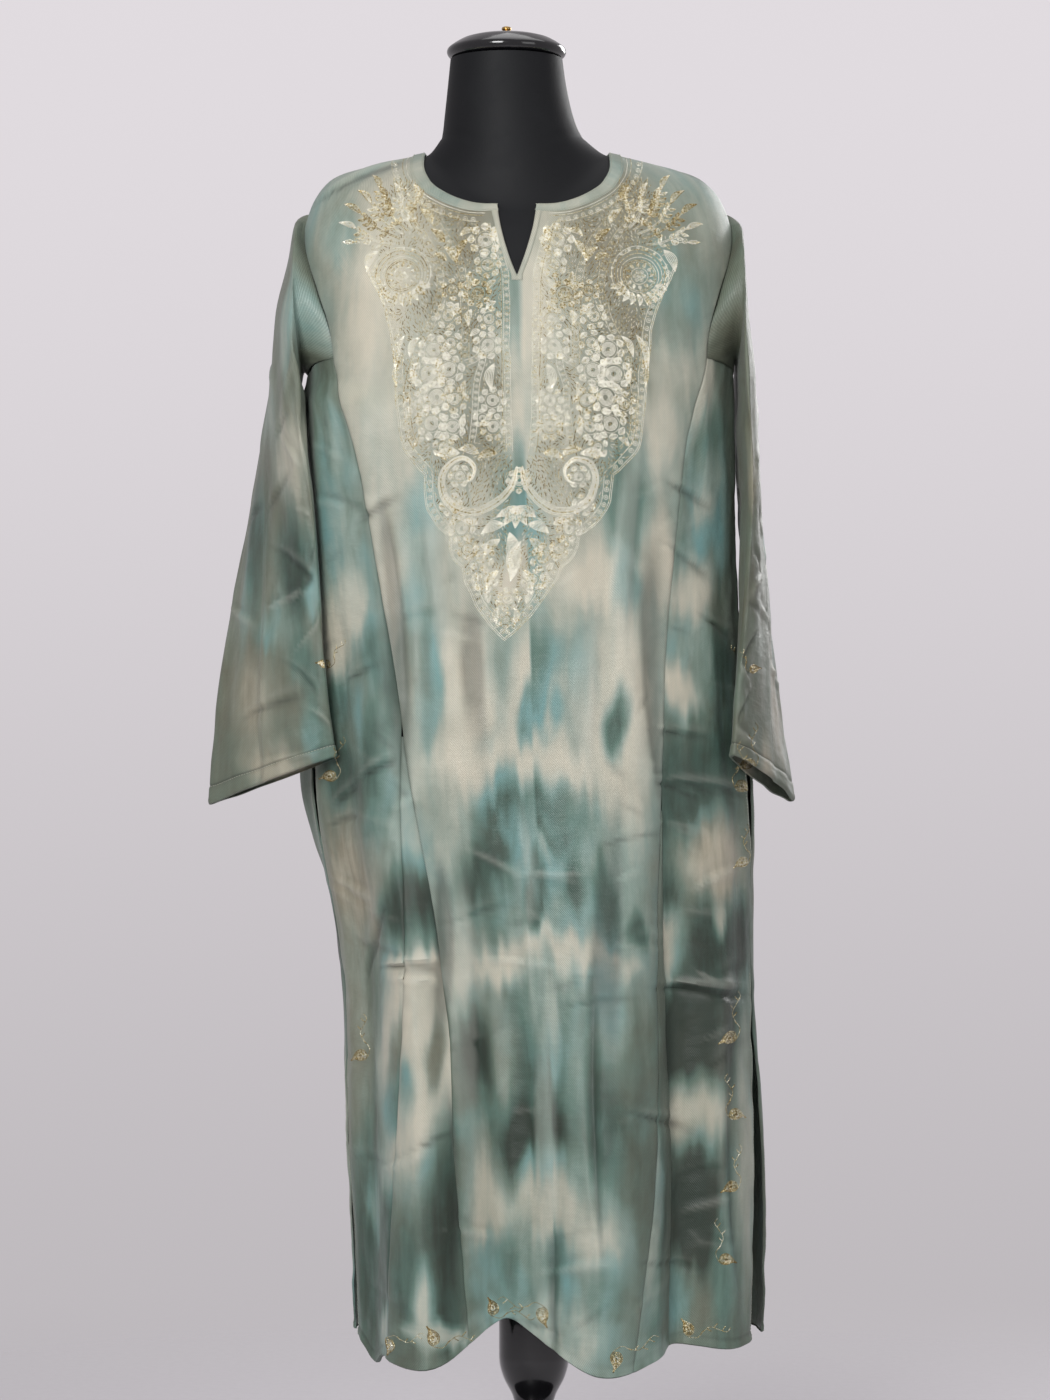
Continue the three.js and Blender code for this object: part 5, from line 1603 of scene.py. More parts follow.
# Small sprigs: the place across and up, length, the vine's direction in degrees and which way it curls.
FRONT_SPRIGS = [
    (-97, 262, 13, 5, 1), (-140, 252, 11, 12, -1), (-40, 285, 12, 0, 1), (8, 283, 13, 175, 1),
    (78, 246, 13, 12, -1), (150, 262, 12, 10, 1), (192, 545, 13, 88, 1), (196, 470, 12, 92, -1),
    (193, 400, 12, 88, 1), (186, 330, 12, 92, -1), (-170, 525, 12, 96, 1), (-200, 800, 12, 80, 1),
    (204, 790, 13, 86, -1), (206, 715, 11, 92, 1), (210, 812, 12, 90, 1), (-204, 910, 9, 60, 1),
    (214, 905, 9, 120, -1),
]
BACK_SPRIGS = [(-120, 262, 13, 5, 1), (-40, 272, 12, 0, -1), (40, 268, 13, 175, 1), (120, 262, 12, 10, -1)]


# A sprig's drop and its vine, in lengths of the drop.
DROP = [
    (-0.1, -0.5), (0.35, -0.3), (0.45, 0.15), (0.2, 0.5), (-0.2, 0.75), (-0.45, 1.0), (-0.3, 0.6),
    (-0.4, 0.2), (-0.35, -0.25), (-0.1, -0.5),
]
VINE = [(-0.1, -0.55), (0.6, -0.75), (1.2, -0.35), (1.8, -0.1), (2.4, -0.4), (3.0, -0.75), (3.4, -0.5)]


def sprig(x, z, size, degrees, curl):
    """A small paisley with a vine that winds on from its stalk."""
    angle = math.radians(degrees)
    frame_x = np.array([math.cos(angle), math.sin(angle)])
    frame_z = np.array([-math.sin(angle), math.cos(angle)]) * curl

    def put(points):
        points = np.asarray(points, float) * size
        return np.array([[x, z]]) + points[:, :1] * frame_x + points[:, 1:] * frame_z

    threads = [(along_curve(put(DROP)), 1.3, OLD - 0.1)]
    heart = np.array([[-0.02, 0.1]])
    for share, tone in ((0.78, OLD), (0.56, OLD + 0.1), (0.34, GOLD), (0.16, OLD - 0.1)):
        threads.append((along_curve(put(heart + (np.array(DROP) - heart) * share)), 1.45, tone))
    threads.append((along_curve(put(VINE)), 0.8, OLD))
    for u, v, away in ((0.9, -0.6, 0.3), (1.5, -0.15, -0.3), (2.1, -0.2, 0.28), (2.7, -0.6, 0.32)):
        tendril = [(u, v), (u + 0.15, v + away * 0.6), (u + 0.32, v + away)]
        threads.append((along_curve(put(tendril), 0.9), 1.2, OLD))
    return threads


STITCHED = []  # each line of stitches: its points and the cloth's normals there


def stitch_rows(points, normals, hem, smallest=0):
    """Note the line of stitches above a hem, across a grid of cloth."""
    row = np.argmin(np.abs(hem - STITCH_LINE), axis=0)
    columns = np.arange(hem.shape[1])
    near = np.abs(hem[row, columns] - STITCH_LINE) < 1.2
    if near.sum() > smallest:
        STITCHED.append((points[row, columns][near], normals[row, columns][near]))


def stitch_mesh():
    """One stitch: a short rounded thread that dives into the cloth at both ends."""
    rows = [(-0.5, 0.0, -0.35), (-0.38, 0.6, 0.02), (0.0, 1.0, 0.3), (0.38, 0.6, 0.02), (0.5, 0.0, -0.35)]
    points = [(rows[0][0], 0, rows[0][2])]
    for along, wide, high in rows[1:-1]:
        for turn in range(5):
            angle = 2 * math.pi * turn / 5
            points.append((along, 0.5 * wide * math.cos(angle), high + 0.4 * wide * math.sin(angle)))
    points.append((rows[-1][0], 0, rows[-1][2]))
    faces = []
    for turn in range(5):
        after = (turn + 1) % 5
        faces.append((0, 1 + after, 1 + turn))
        for ring in range(2):
            a = 1 + ring * 5
            faces.append((a + turn, a + after, a + 5 + after, a + 5 + turn))
        faces.append((11 + turn, 11 + after, 16))
    mesh = bpy.data.meshes.new("one_stitch")
    mesh.from_pydata(points, [], faces)
    mesh.polygons.foreach_set("use_smooth", np.ones(len(mesh.polygons), bool))
    return mesh


def stitching_tree(stitch, material):
    """Stitches set along lines: resampled, laid along the line and turned to the cloth."""
    tree = bpy.data.node_groups.new("run_of_stitches", "GeometryNodeTree")
    tree.interface.new_socket(name="Lines", in_out="INPUT", socket_type="NodeSocketGeometry")
    for name, value in (("Pitch", 0.0031), ("Length", 0.0024), ("Thickness", 0.0006), ("Unevenness", 0.12)):
        socket = tree.interface.new_socket(name=name, in_out="INPUT", socket_type="NodeSocketFloat")
        socket.default_value = value
    tree.interface.new_socket(name="Stitches", in_out="OUTPUT", socket_type="NodeSocketGeometry")
    start = node(tree, "NodeGroupInput", (-1200, 0))
    end = node(tree, "NodeGroupOutput", (1200, 0))
    curve = node(tree, "GeometryNodeMeshToCurve", (-1000, 0))
    tree.links.new(start.outputs["Lines"], curve.inputs["Mesh"])
    spaced_out = node(tree, "GeometryNodeResampleCurve", (-800, 0), mode="LENGTH")
    tree.links.new(curve.outputs["Curve"], spaced_out.inputs["Curve"])
    tree.links.new(start.outputs["Pitch"], spaced_out.inputs["Length"])
    tangent = node(tree, "GeometryNodeInputTangent", (-800, -300))
    facing = node(tree, "GeometryNodeInputNamedAttribute", (-800, -500), data_type="FLOAT_VECTOR")
    facing.inputs["Name"].default_value = "facing"
    along = node(tree, "FunctionNodeAlignRotationToVector", (-500, -300), axis="X")
    tree.links.new(tangent.outputs[0], along.inputs["Vector"])
    upright = node(tree, "FunctionNodeAlignRotationToVector", (-300, -300), axis="Z", pivot_axis="X")
    tree.links.new(along.outputs[0], upright.inputs["Rotation"])
    tree.links.new(facing.outputs["Attribute"], upright.inputs["Vector"])
    shape = node(tree, "GeometryNodeObjectInfo", (-500, 300))
    shape.inputs["Object"].default_value = stitch
    size = node(tree, "ShaderNodeCombineXYZ", (-300, 100))
    uneven = node(tree, "FunctionNodeRandomValue", (-900, 500), data_type="FLOAT")
    set_inputs(uneven, Seed=5)
    least = math_node(tree, "SUBTRACT", 1.0, start.outputs["Unevenness"], place=(-1080, 620))
    most = math_node(tree, "ADD", 1.0, start.outputs["Unevenness"], place=(-1080, 460))
    floats = [socket for socket in uneven.inputs if socket.type == "VALUE" and socket.enabled]
    tree.links.new(least, floats[0])
    tree.links.new(most, floats[1])
    drawn = [socket for socket in uneven.outputs if socket.type == "VALUE" and socket.enabled][0]
    long = math_node(tree, "MULTIPLY", start.outputs["Length"], drawn, place=(-500, 520))
    tree.links.new(long, size.inputs["X"])
    tree.links.new(start.outputs["Thickness"], size.inputs["Y"])
    tree.links.new(start.outputs["Thickness"], size.inputs["Z"])
    placed = node(tree, "GeometryNodeInstanceOnPoints", (0, 0))
    tree.links.new(spaced_out.outputs["Curve"], placed.inputs["Points"])
    tree.links.new(shape.outputs["Geometry"], placed.inputs["Instance"])
    tree.links.new(upright.outputs[0], placed.inputs["Rotation"])
    tree.links.new(size.outputs["Vector"], placed.inputs["Scale"])
    real = node(tree, "GeometryNodeRealizeInstances", (400, 0))
    tree.links.new(placed.outputs["Instances"], real.inputs["Geometry"])
    dressed = node(tree, "GeometryNodeSetMaterial", (700, 0))
    dressed.inputs["Material"].default_value = material
    tree.links.new(real.outputs["Geometry"], dressed.inputs["Geometry"])
    tree.links.new(dressed.outputs["Geometry"], end.inputs["Stitches"])
    return tree


def sewn(name, lines, material, pitch, length, thickness):
    """Stitches along the lines, as one plain mesh."""
    points = []
    facing = []
    edges = []
    for place, normal in lines:
        first = len(points)
        points += (place * MM).tolist()
        facing += normal.tolist()
        edges += [(first + i, first + i + 1) for i in range(len(place) - 1)]
    mesh = bpy.data.meshes.new(name + "_lines")
    mesh.from_pydata(points, edges, [])
    layer = mesh.attributes.new("facing", "FLOAT_VECTOR", "POINT")
    layer.data.foreach_set("vector", np.asarray(facing, np.float32).ravel())
    carrier = link_object(name, mesh)
    stitch = link_object("one_stitch", stitch_mesh())
    tree = stitching_tree(stitch, material)
    modifier = carrier.modifiers.new("stitches", "NODES")
    modifier.node_group = tree
    for label, value in (("Pitch", pitch), ("Length", length), ("Thickness", thickness)):
        modifier[tree.interface.items_tree[label].identifier] = value
    graph = bpy.context.evaluated_depsgraph_get()
    made = bpy.data.meshes.new_from_object(carrier.evaluated_get(graph))
    carrier.modifiers.remove(modifier)
    carrier.data = made
    bpy.data.objects.remove(stitch)
    bpy.data.node_groups.remove(tree)
    return finish_piece(carrier, material)


def sewing_thread_material():
    material, tree, shader = new_material("sewing_thread", Roughness=0.55, Sheen_Weight=0.1)
    place = node(tree, "ShaderNodeTexCoord", (-900, 0))
    change = noise_node(tree, place.outputs["Object"], 60.0, 3.0, 0.6, (-500, 0))
    colour = mix_colours(tree, change, linear(150, 158, 142), linear(196, 194, 176), place=(-200, 0))
    tree.links.new(colour, shader.inputs["Base Color"])
    twist = noise_node(tree, place.outputs["Object"], 2200.0, 1.0, 0.5, (-500, -300))
    tree.links.new(bump(tree, twist, 0.4, 0.0002), shader.inputs["Normal"])
    return material


def linear(red, green, blue):
    """A colour given as it looks on a screen, 0 to 255, as Blender's own numbers."""
    values = []
    for part in (red, green, blue):
        part = part / 255
        values.append(part / 12.92 if part <= 0.04045 else ((part + 0.055) / 1.055) ** 2.4)
    return (*values, 1.0)


def node(tree, kind, place=(0, 0), **settings):
    made = tree.nodes.new(kind)
    made.location = place
    for name, value in settings.items():
        setattr(made, name, value)
    return made


def set_inputs(made, **values):
    for name, value in values.items():
        made.inputs[name.replace("_", " ")].default_value = value
    return made


def new_group(name, inputs, outputs):
    """A group of shader nodes with its sockets, each a label, a kind and a first value."""
    tree = bpy.data.node_groups.new(name, "ShaderNodeTree")
    for label, kind, value in inputs:
        socket = tree.interface.new_socket(name=label, in_out="INPUT", socket_type="NodeSocket" + kind)
        if value is not None:
            socket.default_value = value
    for label, kind in outputs:
        tree.interface.new_socket(name=label, in_out="OUTPUT", socket_type="NodeSocket" + kind)
    start = node(tree, "NodeGroupInput", (-1000, 0))
    end = node(tree, "NodeGroupOutput", (900, 0))
    return tree, start, end


def math_node(tree, operation, a, b=None, c=None, clamp=False, place=(0, 0)):
    """A sum of up to three values or sockets."""
    made = node(tree, "ShaderNodeMath", place, operation=operation, use_clamp=clamp)
    for slot, value in enumerate((a, b, c)):
        if value is None:
            continue
        if isinstance(value, (int, float)):
            made.inputs[slot].default_value = value
        else:
            tree.links.new(value, made.inputs[slot])
    return made.outputs[0]


def noise_node(tree, vector, scale, detail=2.0, rough=0.5, place=(0, 0), stretch=None, distortion=0.0):
    """Noise over a vector, stretched by its own scale on each axis where asked."""
    if stretch is not None:
        mapping = node(tree, "ShaderNodeMapping", (place[0] - 200, place[1]))
        mapping.inputs["Scale"].default_value = stretch
        tree.links.new(vector, mapping.inputs["Vector"])
        vector = mapping.outputs["Vector"]
    made = node(tree, "ShaderNodeTexNoise", place)
    set_inputs(made, Scale=scale, Detail=detail, Roughness=rough, Distortion=distortion)
    tree.links.new(vector, made.inputs["Vector"])
    return made.outputs["Fac"]


def ramp_node(tree, value, stops, place=(0, 0)):
    """A colour from a value by way of the stops."""
    made = node(tree, "ShaderNodeValToRGB", place)
    ramp = made.color_ramp
    while len(ramp.elements) < len(stops):
        ramp.elements.new(0.5)
    for element, (position, colour) in zip(ramp.elements, stops):
        element.position = position
        element.color = colour
    tree.links.new(value, made.inputs["Fac"])
    return made.outputs["Color"]


def mix_colours(tree, share, a, b, blend="MIX", place=(0, 0)):
    """Two colours mixed by a share; each may be a value or a socket."""
    made = node(tree, "ShaderNodeMix", place, data_type="RGBA", blend_type=blend)
    for socket, value in ((made.inputs[0], share), (made.inputs[6], a), (made.inputs[7], b)):
        if isinstance(value, (int, float, tuple)):
            socket.default_value = value
        else:
            tree.links.new(value, socket)
    return made.outputs[2]


def varied_by(tree, noise, amount, value, place, middle=0.5, clamp=False):
    """A value raised and lowered by a noise about its middle."""
    swing = math_node(tree, "SUBTRACT", noise, middle, place=(place[0] - 160, place[1] + 80))
    return math_node(tree, "MULTIPLY_ADD", swing, amount, value, clamp=clamp, place=place)


def twill_group():
    """A fine diagonal twill: its height, and a mask of its darker furrows, from metres along the cloth."""
    tree, start, end = new_group(
        "fine_twill",
        [("Cloth", "Vector", None), ("Pitch", "Float", 0.0015), ("Slope", "Float", 0.9)],
        [("Height", "Float"), ("Furrow", "Float")],
    )
    split = node(tree, "ShaderNodeSeparateXYZ", (-800, 0))
    tree.links.new(start.outputs["Cloth"], split.inputs[0])
    wobble = noise_node(tree, start.outputs["Cloth"], 60.0, 2.0, place=(-800, -250))
    sway = math_node(tree, "MULTIPLY", wobble, 0.0024, place=(-600, -250))
    rise = math_node(tree, "MULTIPLY", split.outputs[1], start.outputs["Slope"], place=(-600, -80))
    diagonal = math_node(tree, "ADD", split.outputs[0], rise, place=(-420, 0))
    diagonal = math_node(tree, "ADD", diagonal, sway, place=(-260, 0))
    turns = math_node(tree, "DIVIDE", diagonal, start.outputs["Pitch"], place=(-100, 0))
    wave = math_node(tree, "MULTIPLY", turns, 2 * math.pi, place=(60, 0))
    wave = math_node(tree, "SINE", wave, place=(220, 0))
    half_pitch = math_node(tree, "MULTIPLY", start.outputs["Pitch"], 0.5, place=(-260, -200))
    across = math_node(tree, "DIVIDE", split.outputs[0], half_pitch, place=(-100, -200))
    ribs = math_node(tree, "MULTIPLY", across, 2 * math.pi, place=(60, -200))
    ribs = math_node(tree, "SINE", ribs, place=(220, -200))
    high = math_node(tree, "MULTIPLY_ADD", wave, 0.4, 0.5, place=(400, 0))
    high = math_node(tree, "MULTIPLY_ADD", ribs, 0.1, high, place=(560, 0))
    furrow = math_node(tree, "SUBTRACT", 1.0, high, clamp=True, place=(720, -120))
    tree.links.new(high, end.inputs["Height"])
    tree.links.new(furrow, end.inputs["Furrow"])
    return tree


def dust_group():
    """Light dust and handling marks: a mask from 0 to 1 over the surface."""
    tree, start, end = new_group(
        "light_dust",
        [("Place", "Vector", None), ("Scale", "Float", 18.0), ("Amount", "Float", 0.3)],
        [("Mask", "Float")],
    )
    made = node(tree, "ShaderNodeTexNoise", (-600, 0))
    set_inputs(made, Detail=5.0, Roughness=0.62)
    tree.links.new(start.outputs["Place"], made.inputs["Vector"])
    tree.links.new(start.outputs["Scale"], made.inputs["Scale"])
    lifted = math_node(tree, "SUBTRACT", made.outputs["Fac"], 0.5, place=(-400, 0))
    spread = math_node(tree, "MULTIPLY", lifted, 4.0, clamp=True, place=(-240, 0))
    mask = math_node(tree, "MULTIPLY", spread, start.outputs["Amount"], place=(-80, 0))
    tree.links.new(mask, end.inputs["Mask"])
    return tree


def dye_group(colours):
    """The dyed colour of the cloth from how deep and how brown the dye is, with fine vertical runs."""
    tree, start, end = new_group(
        "run_dye",
        [("Cloth", "Vector", None), ("Depth", "Float", 0.2), ("Brown", "Float", 0.1)],
        [("Colour", "Color"), ("Depth", "Float")],
    )
    cloth = start.outputs["Cloth"]
    fine = noise_node(tree, cloth, 1.0, 4.0, 0.6, (-700, 200), (150.0, 22.0, 1.0))
    broad = noise_node(tree, cloth, 1.0, 3.0, 0.55, (-700, 0), (62.0, 12.0, 1.0), 0.6)
    patch = noise_node(tree, cloth, 1.0, 4.0, 0.6, (-700, -200), (26.0, 18.0, 1.0), 0.4)
    runs = varied_by(tree, fine, 0.1, start.outputs["Depth"], (-320, 200))
    runs = varied_by(tree, broad, 0.26, runs, (-160, 120))
    runs = varied_by(tree, patch, 0.26, runs, (0, 60), clamp=True)
    middle = math_node(tree, "MULTIPLY_ADD", runs, 3.2, -1.6, place=(180, -560))
    middle = math_node(tree, "ABSOLUTE", middle, place=(340, -560))
    middle = math_node(tree, "SUBTRACT", 1.0, middle, clamp=True, place=(500, -560))
    bright = noise_node(tree, cloth, 1.0, 2.0, 0.5, (-700, -500), (17.0, 9.0, 1.0))
    bright = math_node(tree, "MULTIPLY_ADD", bright, 5.0, -2.3, clamp=True, place=(500, -720))
    plain = math_node(tree, "MULTIPLY_ADD", start.outputs["Brown"], -2.0, 1.0, clamp=True, place=(500, -880))
    halo = math_node(tree, "MULTIPLY", middle, bright, place=(660, -560))
    halo = math_node(tree, "MULTIPLY", halo, plain, place=(820, -560))
    cool = ramp_node(tree, runs, [
        (0.02, colours["cream"]), (0.2, colours["pale"]), (0.4, colours["aqua"]), (0.62, colours["teal"]),
        (0.82, colours["deep"]), (0.97, colours["dark"]),
    ], (180, 160))
    warm = ramp_node(tree, runs, [
        (0.05, colours["warm_cream"]), (0.4, colours["taupe"]), (0.95, colours["brown"]),
    ], (180, -160))
    brown = varied_by(tree, patch, 0.8, start.outputs["Brown"], (180, -380), clamp=True)
    colour = mix_colours(tree, brown, cool, warm, place=(520, 0))
    colour = mix_colours(tree, halo, colour, colours["cyan"], place=(700, 0))
    tree.links.new(colour, end.inputs["Colour"])
    tree.links.new(runs, end.inputs["Depth"])
    return tree


GROUPS = {}


def shader_group(name, build):
    """A group by name, built the first time it is asked for."""
    if name not in GROUPS:
        GROUPS[name] = build()
    return GROUPS[name]


def place_group(tree, group, place=(0, 0), **values):
    """A group node with its inputs set or linked."""
    made = node(tree, "ShaderNodeGroup", place)
    made.node_tree = group
    for name, value in values.items():
        socket = made.inputs[name]
        if isinstance(value, (int, float)):
            socket.default_value = value
        else:
            tree.links.new(value, socket)
    return made


def new_material(name, **constants):
    material = bpy.data.materials.new(name)
    material.use_nodes = True
    tree = material.node_tree
    shader = tree.nodes["Principled BSDF"]
    shader.location = (900, 200)
    for label, value in constants.items():
        shader.inputs[label.replace("_", " ")].default_value = value
    return material, tree, shader


def bump(tree, height, strength, distance, place=(600, -300), normal=None):
    """A normal that follows a height, on top of another normal where one is given."""
    made = node(tree, "ShaderNodeBump", place)
    set_inputs(made, Strength=strength, Distance=distance)
    tree.links.new(height, made.inputs["Height"])
    if normal is not None:
        tree.links.new(normal, made.inputs["Normal"])
    return made.outputs["Normal"]


def dyed_cloth_material():
    """Dyed twill: its run colour, its weave, painted shade in troughs and a paler colour on ridges."""
    colours = bpy.context.scene.tunic_dye
    chosen = {name: (*getattr(colours, name), 1.0) for name in TunicDye.__annotations__}
    material, tree, shader = new_material(
        "dyed_twill", Roughness=0.5, Sheen_Weight=0.12, Sheen_Roughness=0.4, Specular_IOR_Level=0.5,
    )
    uv = node(tree, "ShaderNodeUVMap", (-900, 0), uv_map="cloth")
    dye = node(tree, "ShaderNodeAttribute", (-900, 260), attribute_name="dye", attribute_type="GEOMETRY")
    split = node(tree, "ShaderNodeSeparateXYZ", (-700, 260))
    tree.links.new(dye.outputs["Vector"], split.inputs[0])
    runs = place_group(
        tree, shader_group("run_dye", lambda: dye_group(chosen)), (-450, 260),
        Cloth=uv.outputs["UV"], Depth=split.outputs[0], Brown=split.outputs[1],
    )
    twill = shader_group("fine_twill", twill_group)
    twill = place_group(tree, twill, (-450, -60), Cloth=uv.outputs["UV"], Pitch=0.0022)
    shade = math_node(tree, "MULTIPLY_ADD", twill.outputs["Furrow"], -0.3, 1.13, place=(-150, -60))
    slub = noise_node(tree, uv.outputs["UV"], 1.0, 2.0, 0.5, (-450, -360), (900.0, 160.0, 1.0))
    fleck = math_node(tree, "MULTIPLY_ADD", slub, 0.08, 0.96, place=(-150, -240))
    tone = math_node(tree, "MULTIPLY", shade, fleck, place=(0, -100))
    grey = node(tree, "ShaderNodeCombineColor", (150, -100))
    for socket in grey.inputs:
        if socket.name in ("Red", "Green", "Blue"):
            tree.links.new(tone, socket)
    colour = mix_colours(tree, 1.0, runs.outputs["Colour"], grey.outputs["Color"], "MULTIPLY", (400, 200))
    # painted shade: the dye attribute's third value darkens troughs, seam grooves and the hem's line to a
    # painted shade colour and lays a pale colour along ridges
    trough = math_node(tree, "MULTIPLY", split.outputs[2], 0.5, clamp=True, place=(150, 420))
    ridge = math_node(tree, "MULTIPLY", split.outputs[2], -0.2, clamp=True, place=(150, 560))
    colour = mix_colours(tree, trough, colour, linear(40, 46, 40), place=(560, 300))
    colour = mix_colours(tree, ridge, colour, linear(214, 216, 204), place=(720, 300))
    tree.links.new(colour, shader.inputs["Base Color"])
    rough = math_node(tree, "MULTIPLY_ADD", twill.outputs["Furrow"], 0.16, 0.36, place=(400, 0))
    tree.links.new(rough, shader.inputs["Roughness"])
    fold = noise_node(tree, uv.outputs["UV"], 1.0, 4.0, 0.6, (-450, -620), (30.0, 60.0, 1.0))
    creased = bump(tree, fold, 0.35, 0.004, (400, -400))
    woven = bump(tree, twill.outputs["Height"], 0.4, 0.0006, (650, -300), creased)
    tree.links.new(woven, shader.inputs["Normal"])
    return material


def dusty_material(name, clean, dusted, dust_size, rough, **constants):
    """A finish with light dust on it: its material, tree, shader and the place that its grain can follow."""
    scale, amount = dust_size
    material, tree, shader = new_material(name, **constants)
    place = node(tree, "ShaderNodeTexCoord", (-900, 0)).outputs["Object"]
    group = shader_group("light_dust", dust_group)
    dust = place_group(tree, group, (-500, 200), Place=place, Scale=scale, Amount=amount).outputs["Mask"]
    colour = mix_colours(tree, dust, linear(*clean), linear(*dusted), place=(0, 200))
    tree.links.new(colour, shader.inputs["Base Color"])
    tree.links.new(math_node(tree, "MULTIPLY_ADD", dust, *rough), shader.inputs["Roughness"])
    return material, tree, shader, place


def form_material():
    material, tree, shader, place = dusty_material(
        "form_knit_black", (13, 15, 18), (26, 28, 31), (26.0, 0.35), (0.2, 0.62),
        Roughness=0.75, Sheen_Weight=0.06, Sheen_Roughness=0.35, Specular_IOR_Level=0.3,
    )
    knit = noise_node(tree, place, 900.0, 2.0, 0.5, (-500, -200), (1.0, 1.0, 0.45))
    tree.links.new(bump(tree, knit, 0.25, 0.0005), shader.inputs["Normal"])
    return material


def lacquer_material():
    material, tree, shader, place = dusty_material(
        "black_lacquer_gloss", (15, 15, 17), (34, 34, 37), (40.0, 0.4), (0.3, 0.13),
        Roughness=0.16, Coat_Weight=0.6, Coat_Roughness=0.08, Specular_IOR_Level=0.5,
    )
    grain = noise_node(tree, place, 1.0, 3.0, 0.5, (-500, -100), (160.0, 160.0, 9.0))
    tree.links.new(bump(tree, grain, 0.08, 0.0006), shader.inputs["Normal"])
    return material


def brass_material():
    return dusty_material(
        "finial_brass_polished", (205, 170, 104), (120, 92, 52), (300.0, 0.6), (0.3, 0.24),
        Metallic=1.0, Roughness=0.28,
    )[0]


def base_material():
    material, tree, shader, place = dusty_material(
        "satin_black_paint", (24, 24, 26), (52, 51, 52), (14.0, 0.5), (0.3, 0.34),
        Roughness=0.4, Specular_IOR_Level=0.5,
    )
    peel = noise_node(tree, place, 420.0, 2.0, 0.5, (-500, -200))
    tree.links.new(bump(tree, peel, 0.1, 0.0004), shader.inputs["Normal"])
    return material


def gold_thread_material():
    """Metal thread wound on a core: pale to old gold, glinting from turn to turn."""
    material, tree, shader = new_material("gold_thread", Metallic=0.5, Roughness=0.26)
    uv = node(tree, "ShaderNodeUVMap", (-900, 0), uv_map="cloth")
    place = node(tree, "ShaderNodeTexCoord", (-900, -300))
    tone = node(tree, "ShaderNodeAttribute", (-900, 260), attribute_name="dye", attribute_type="GEOMETRY")
    split = node(tree, "ShaderNodeSeparateXYZ", (-700, 260))
    tree.links.new(tone.outputs["Vector"], split.inputs[0])
    glint = noise_node(tree, place.outputs["Object"], 520.0, 2.0, 0.7, (-600, 0))
    broad = noise_node(tree, place.outputs["Object"], 38.0, 2.0, 0.5, (-600, -160))
    change = varied_by(tree, split.outputs[1], 0.35, split.outputs[0], (-400, 260))
    change = varied_by(tree, glint, 3.0, change, (-300, 120), middle=0.47)
    change = varied_by(tree, broad, 1.2, change, (-160, 0), clamp=True)
    colour = ramp_node(tree, change, [
        (0.0, linear(146, 124, 76)), (0.2, linear(196, 176, 118)), (0.45, linear(240, 230, 190)),
        (0.75, linear(255, 253, 238)),
    ], (0, 200))
    tree.links.new(colour, shader.inputs["Base Color"])
    ridge = node(tree, "ShaderNodeTexWave", (-500, -400), wave_type="BANDS", bands_direction="DIAGONAL")
    set_inputs(ridge, Scale=330.0, Distortion=1.2, Detail=1.0)
    tree.links.new(uv.outputs["UV"], ridge.inputs["Vector"])
    wound = bump(tree, ridge.outputs["Fac"], 0.7, 0.0004, (200, -400))
    rough = bump(tree, glint, 0.9, 0.0007, (450, -300), wound)
    tree.links.new(rough, shader.inputs["Normal"])
    return material


def cloth_materials():
    """The dyed cloth's material, made once for the panels and the trim."""
    return bpy.data.materials.get("dyed_twill") or dyed_cloth_material()


def colour_property(name, description, *colour):
    settings = {"subtype": "COLOR", "size": 3, "min": 0, "max": 1, "default": linear(*colour)[:3]}
    return FloatVectorProperty(name=name, description=description, **settings)


def size_property(name, description, metres, least):
    settings = {"subtype": "DISTANCE", "unit": "LENGTH", "default": metres, "min": least}
    return FloatProperty(name=name, description=description, **settings)


class TunicDye(bpy.types.PropertyGroup):
    """Colours of the dyed cloth, from undyed to the deepest."""

    cream: colour_property("Cream", "Cloth the dye hardly reached", 206, 201, 182)
    pale: colour_property("Pale", "The palest dye", 184, 188, 173)
    aqua: colour_property("Aqua", "Light aqua, at the edges of deeper patches", 146, 164, 153)
    cyan: colour_property("Cyan", "Bright runs at the edges of the teal", 116, 159, 157)
    teal: colour_property("Teal", "Middle teal", 99, 127, 115)
    deep: colour_property("Deep", "Deep grey-green", 68, 91, 80)
    dark: colour_property("Dark", "The deepest dye", 46, 58, 48)
    warm_cream: colour_property("Warm cream", "Cream with a brownish cast", 198, 188, 166)
    taupe: colour_property("Taupe", "Brownish grey dye", 134, 128, 108)
    brown: colour_property("Brown", "The deepest brownish grey", 74, 74, 60)


class TunicSewing(bpy.types.PropertyGroup):
    """Sizes of the stitches in the hems and the neck band."""

    pitch: size_property("Pitch", "From one stitch to the next", 0.0031, 0.001)
    length: size_property("Length", "Length of one stitch", 0.0024, 0.0005)
    thickness: size_property("Thickness", "Thickness of the sewing thread", 0.0007, 0.0002)


class TunicStage(bpy.types.PropertyGroup):
    """The plain floor and the light."""

    backdrop: colour_property("Backdrop", "Colour of the light round the scene", 213, 208, 212)
    surround: FloatProperty(name="Surround", description="Share that lights the piece", default=0.56, min=0)
    floor_radius: size_property("Floor radius", "Where the pale floor has faded out", 1.9, 0.5)
    key_power: FloatProperty(name="Key", description="Watts of the light in front", default=84.0, min=0)
    fill_power: FloatProperty(name="Fill", description="Watts of the light opposite", default=14.0, min=0)


class TUNIC_OT_cloth(bpy.types.Operator):
    """Cut and sew the panels, gores, godets and sleeves"""

    bl_idname = "tunic.cloth"
    bl_label = "Cloth pieces"

    def execute(self, context):
        material = cloth_materials()
        cloth_piece("front_panel", *front_panel(), material)
        cloth_piece("back_panel", *back_panel(), material)
        for side in ("left", "right"):
            for part in ("front", "back"):
                cloth_piece(f"{part}_gore_{side}", *gore(side, part), material)
                cloth_piece(f"{part}_godet_{side}", *godet(side, part), material)
            sleeve_piece(side, material)
        return {"FINISHED"}


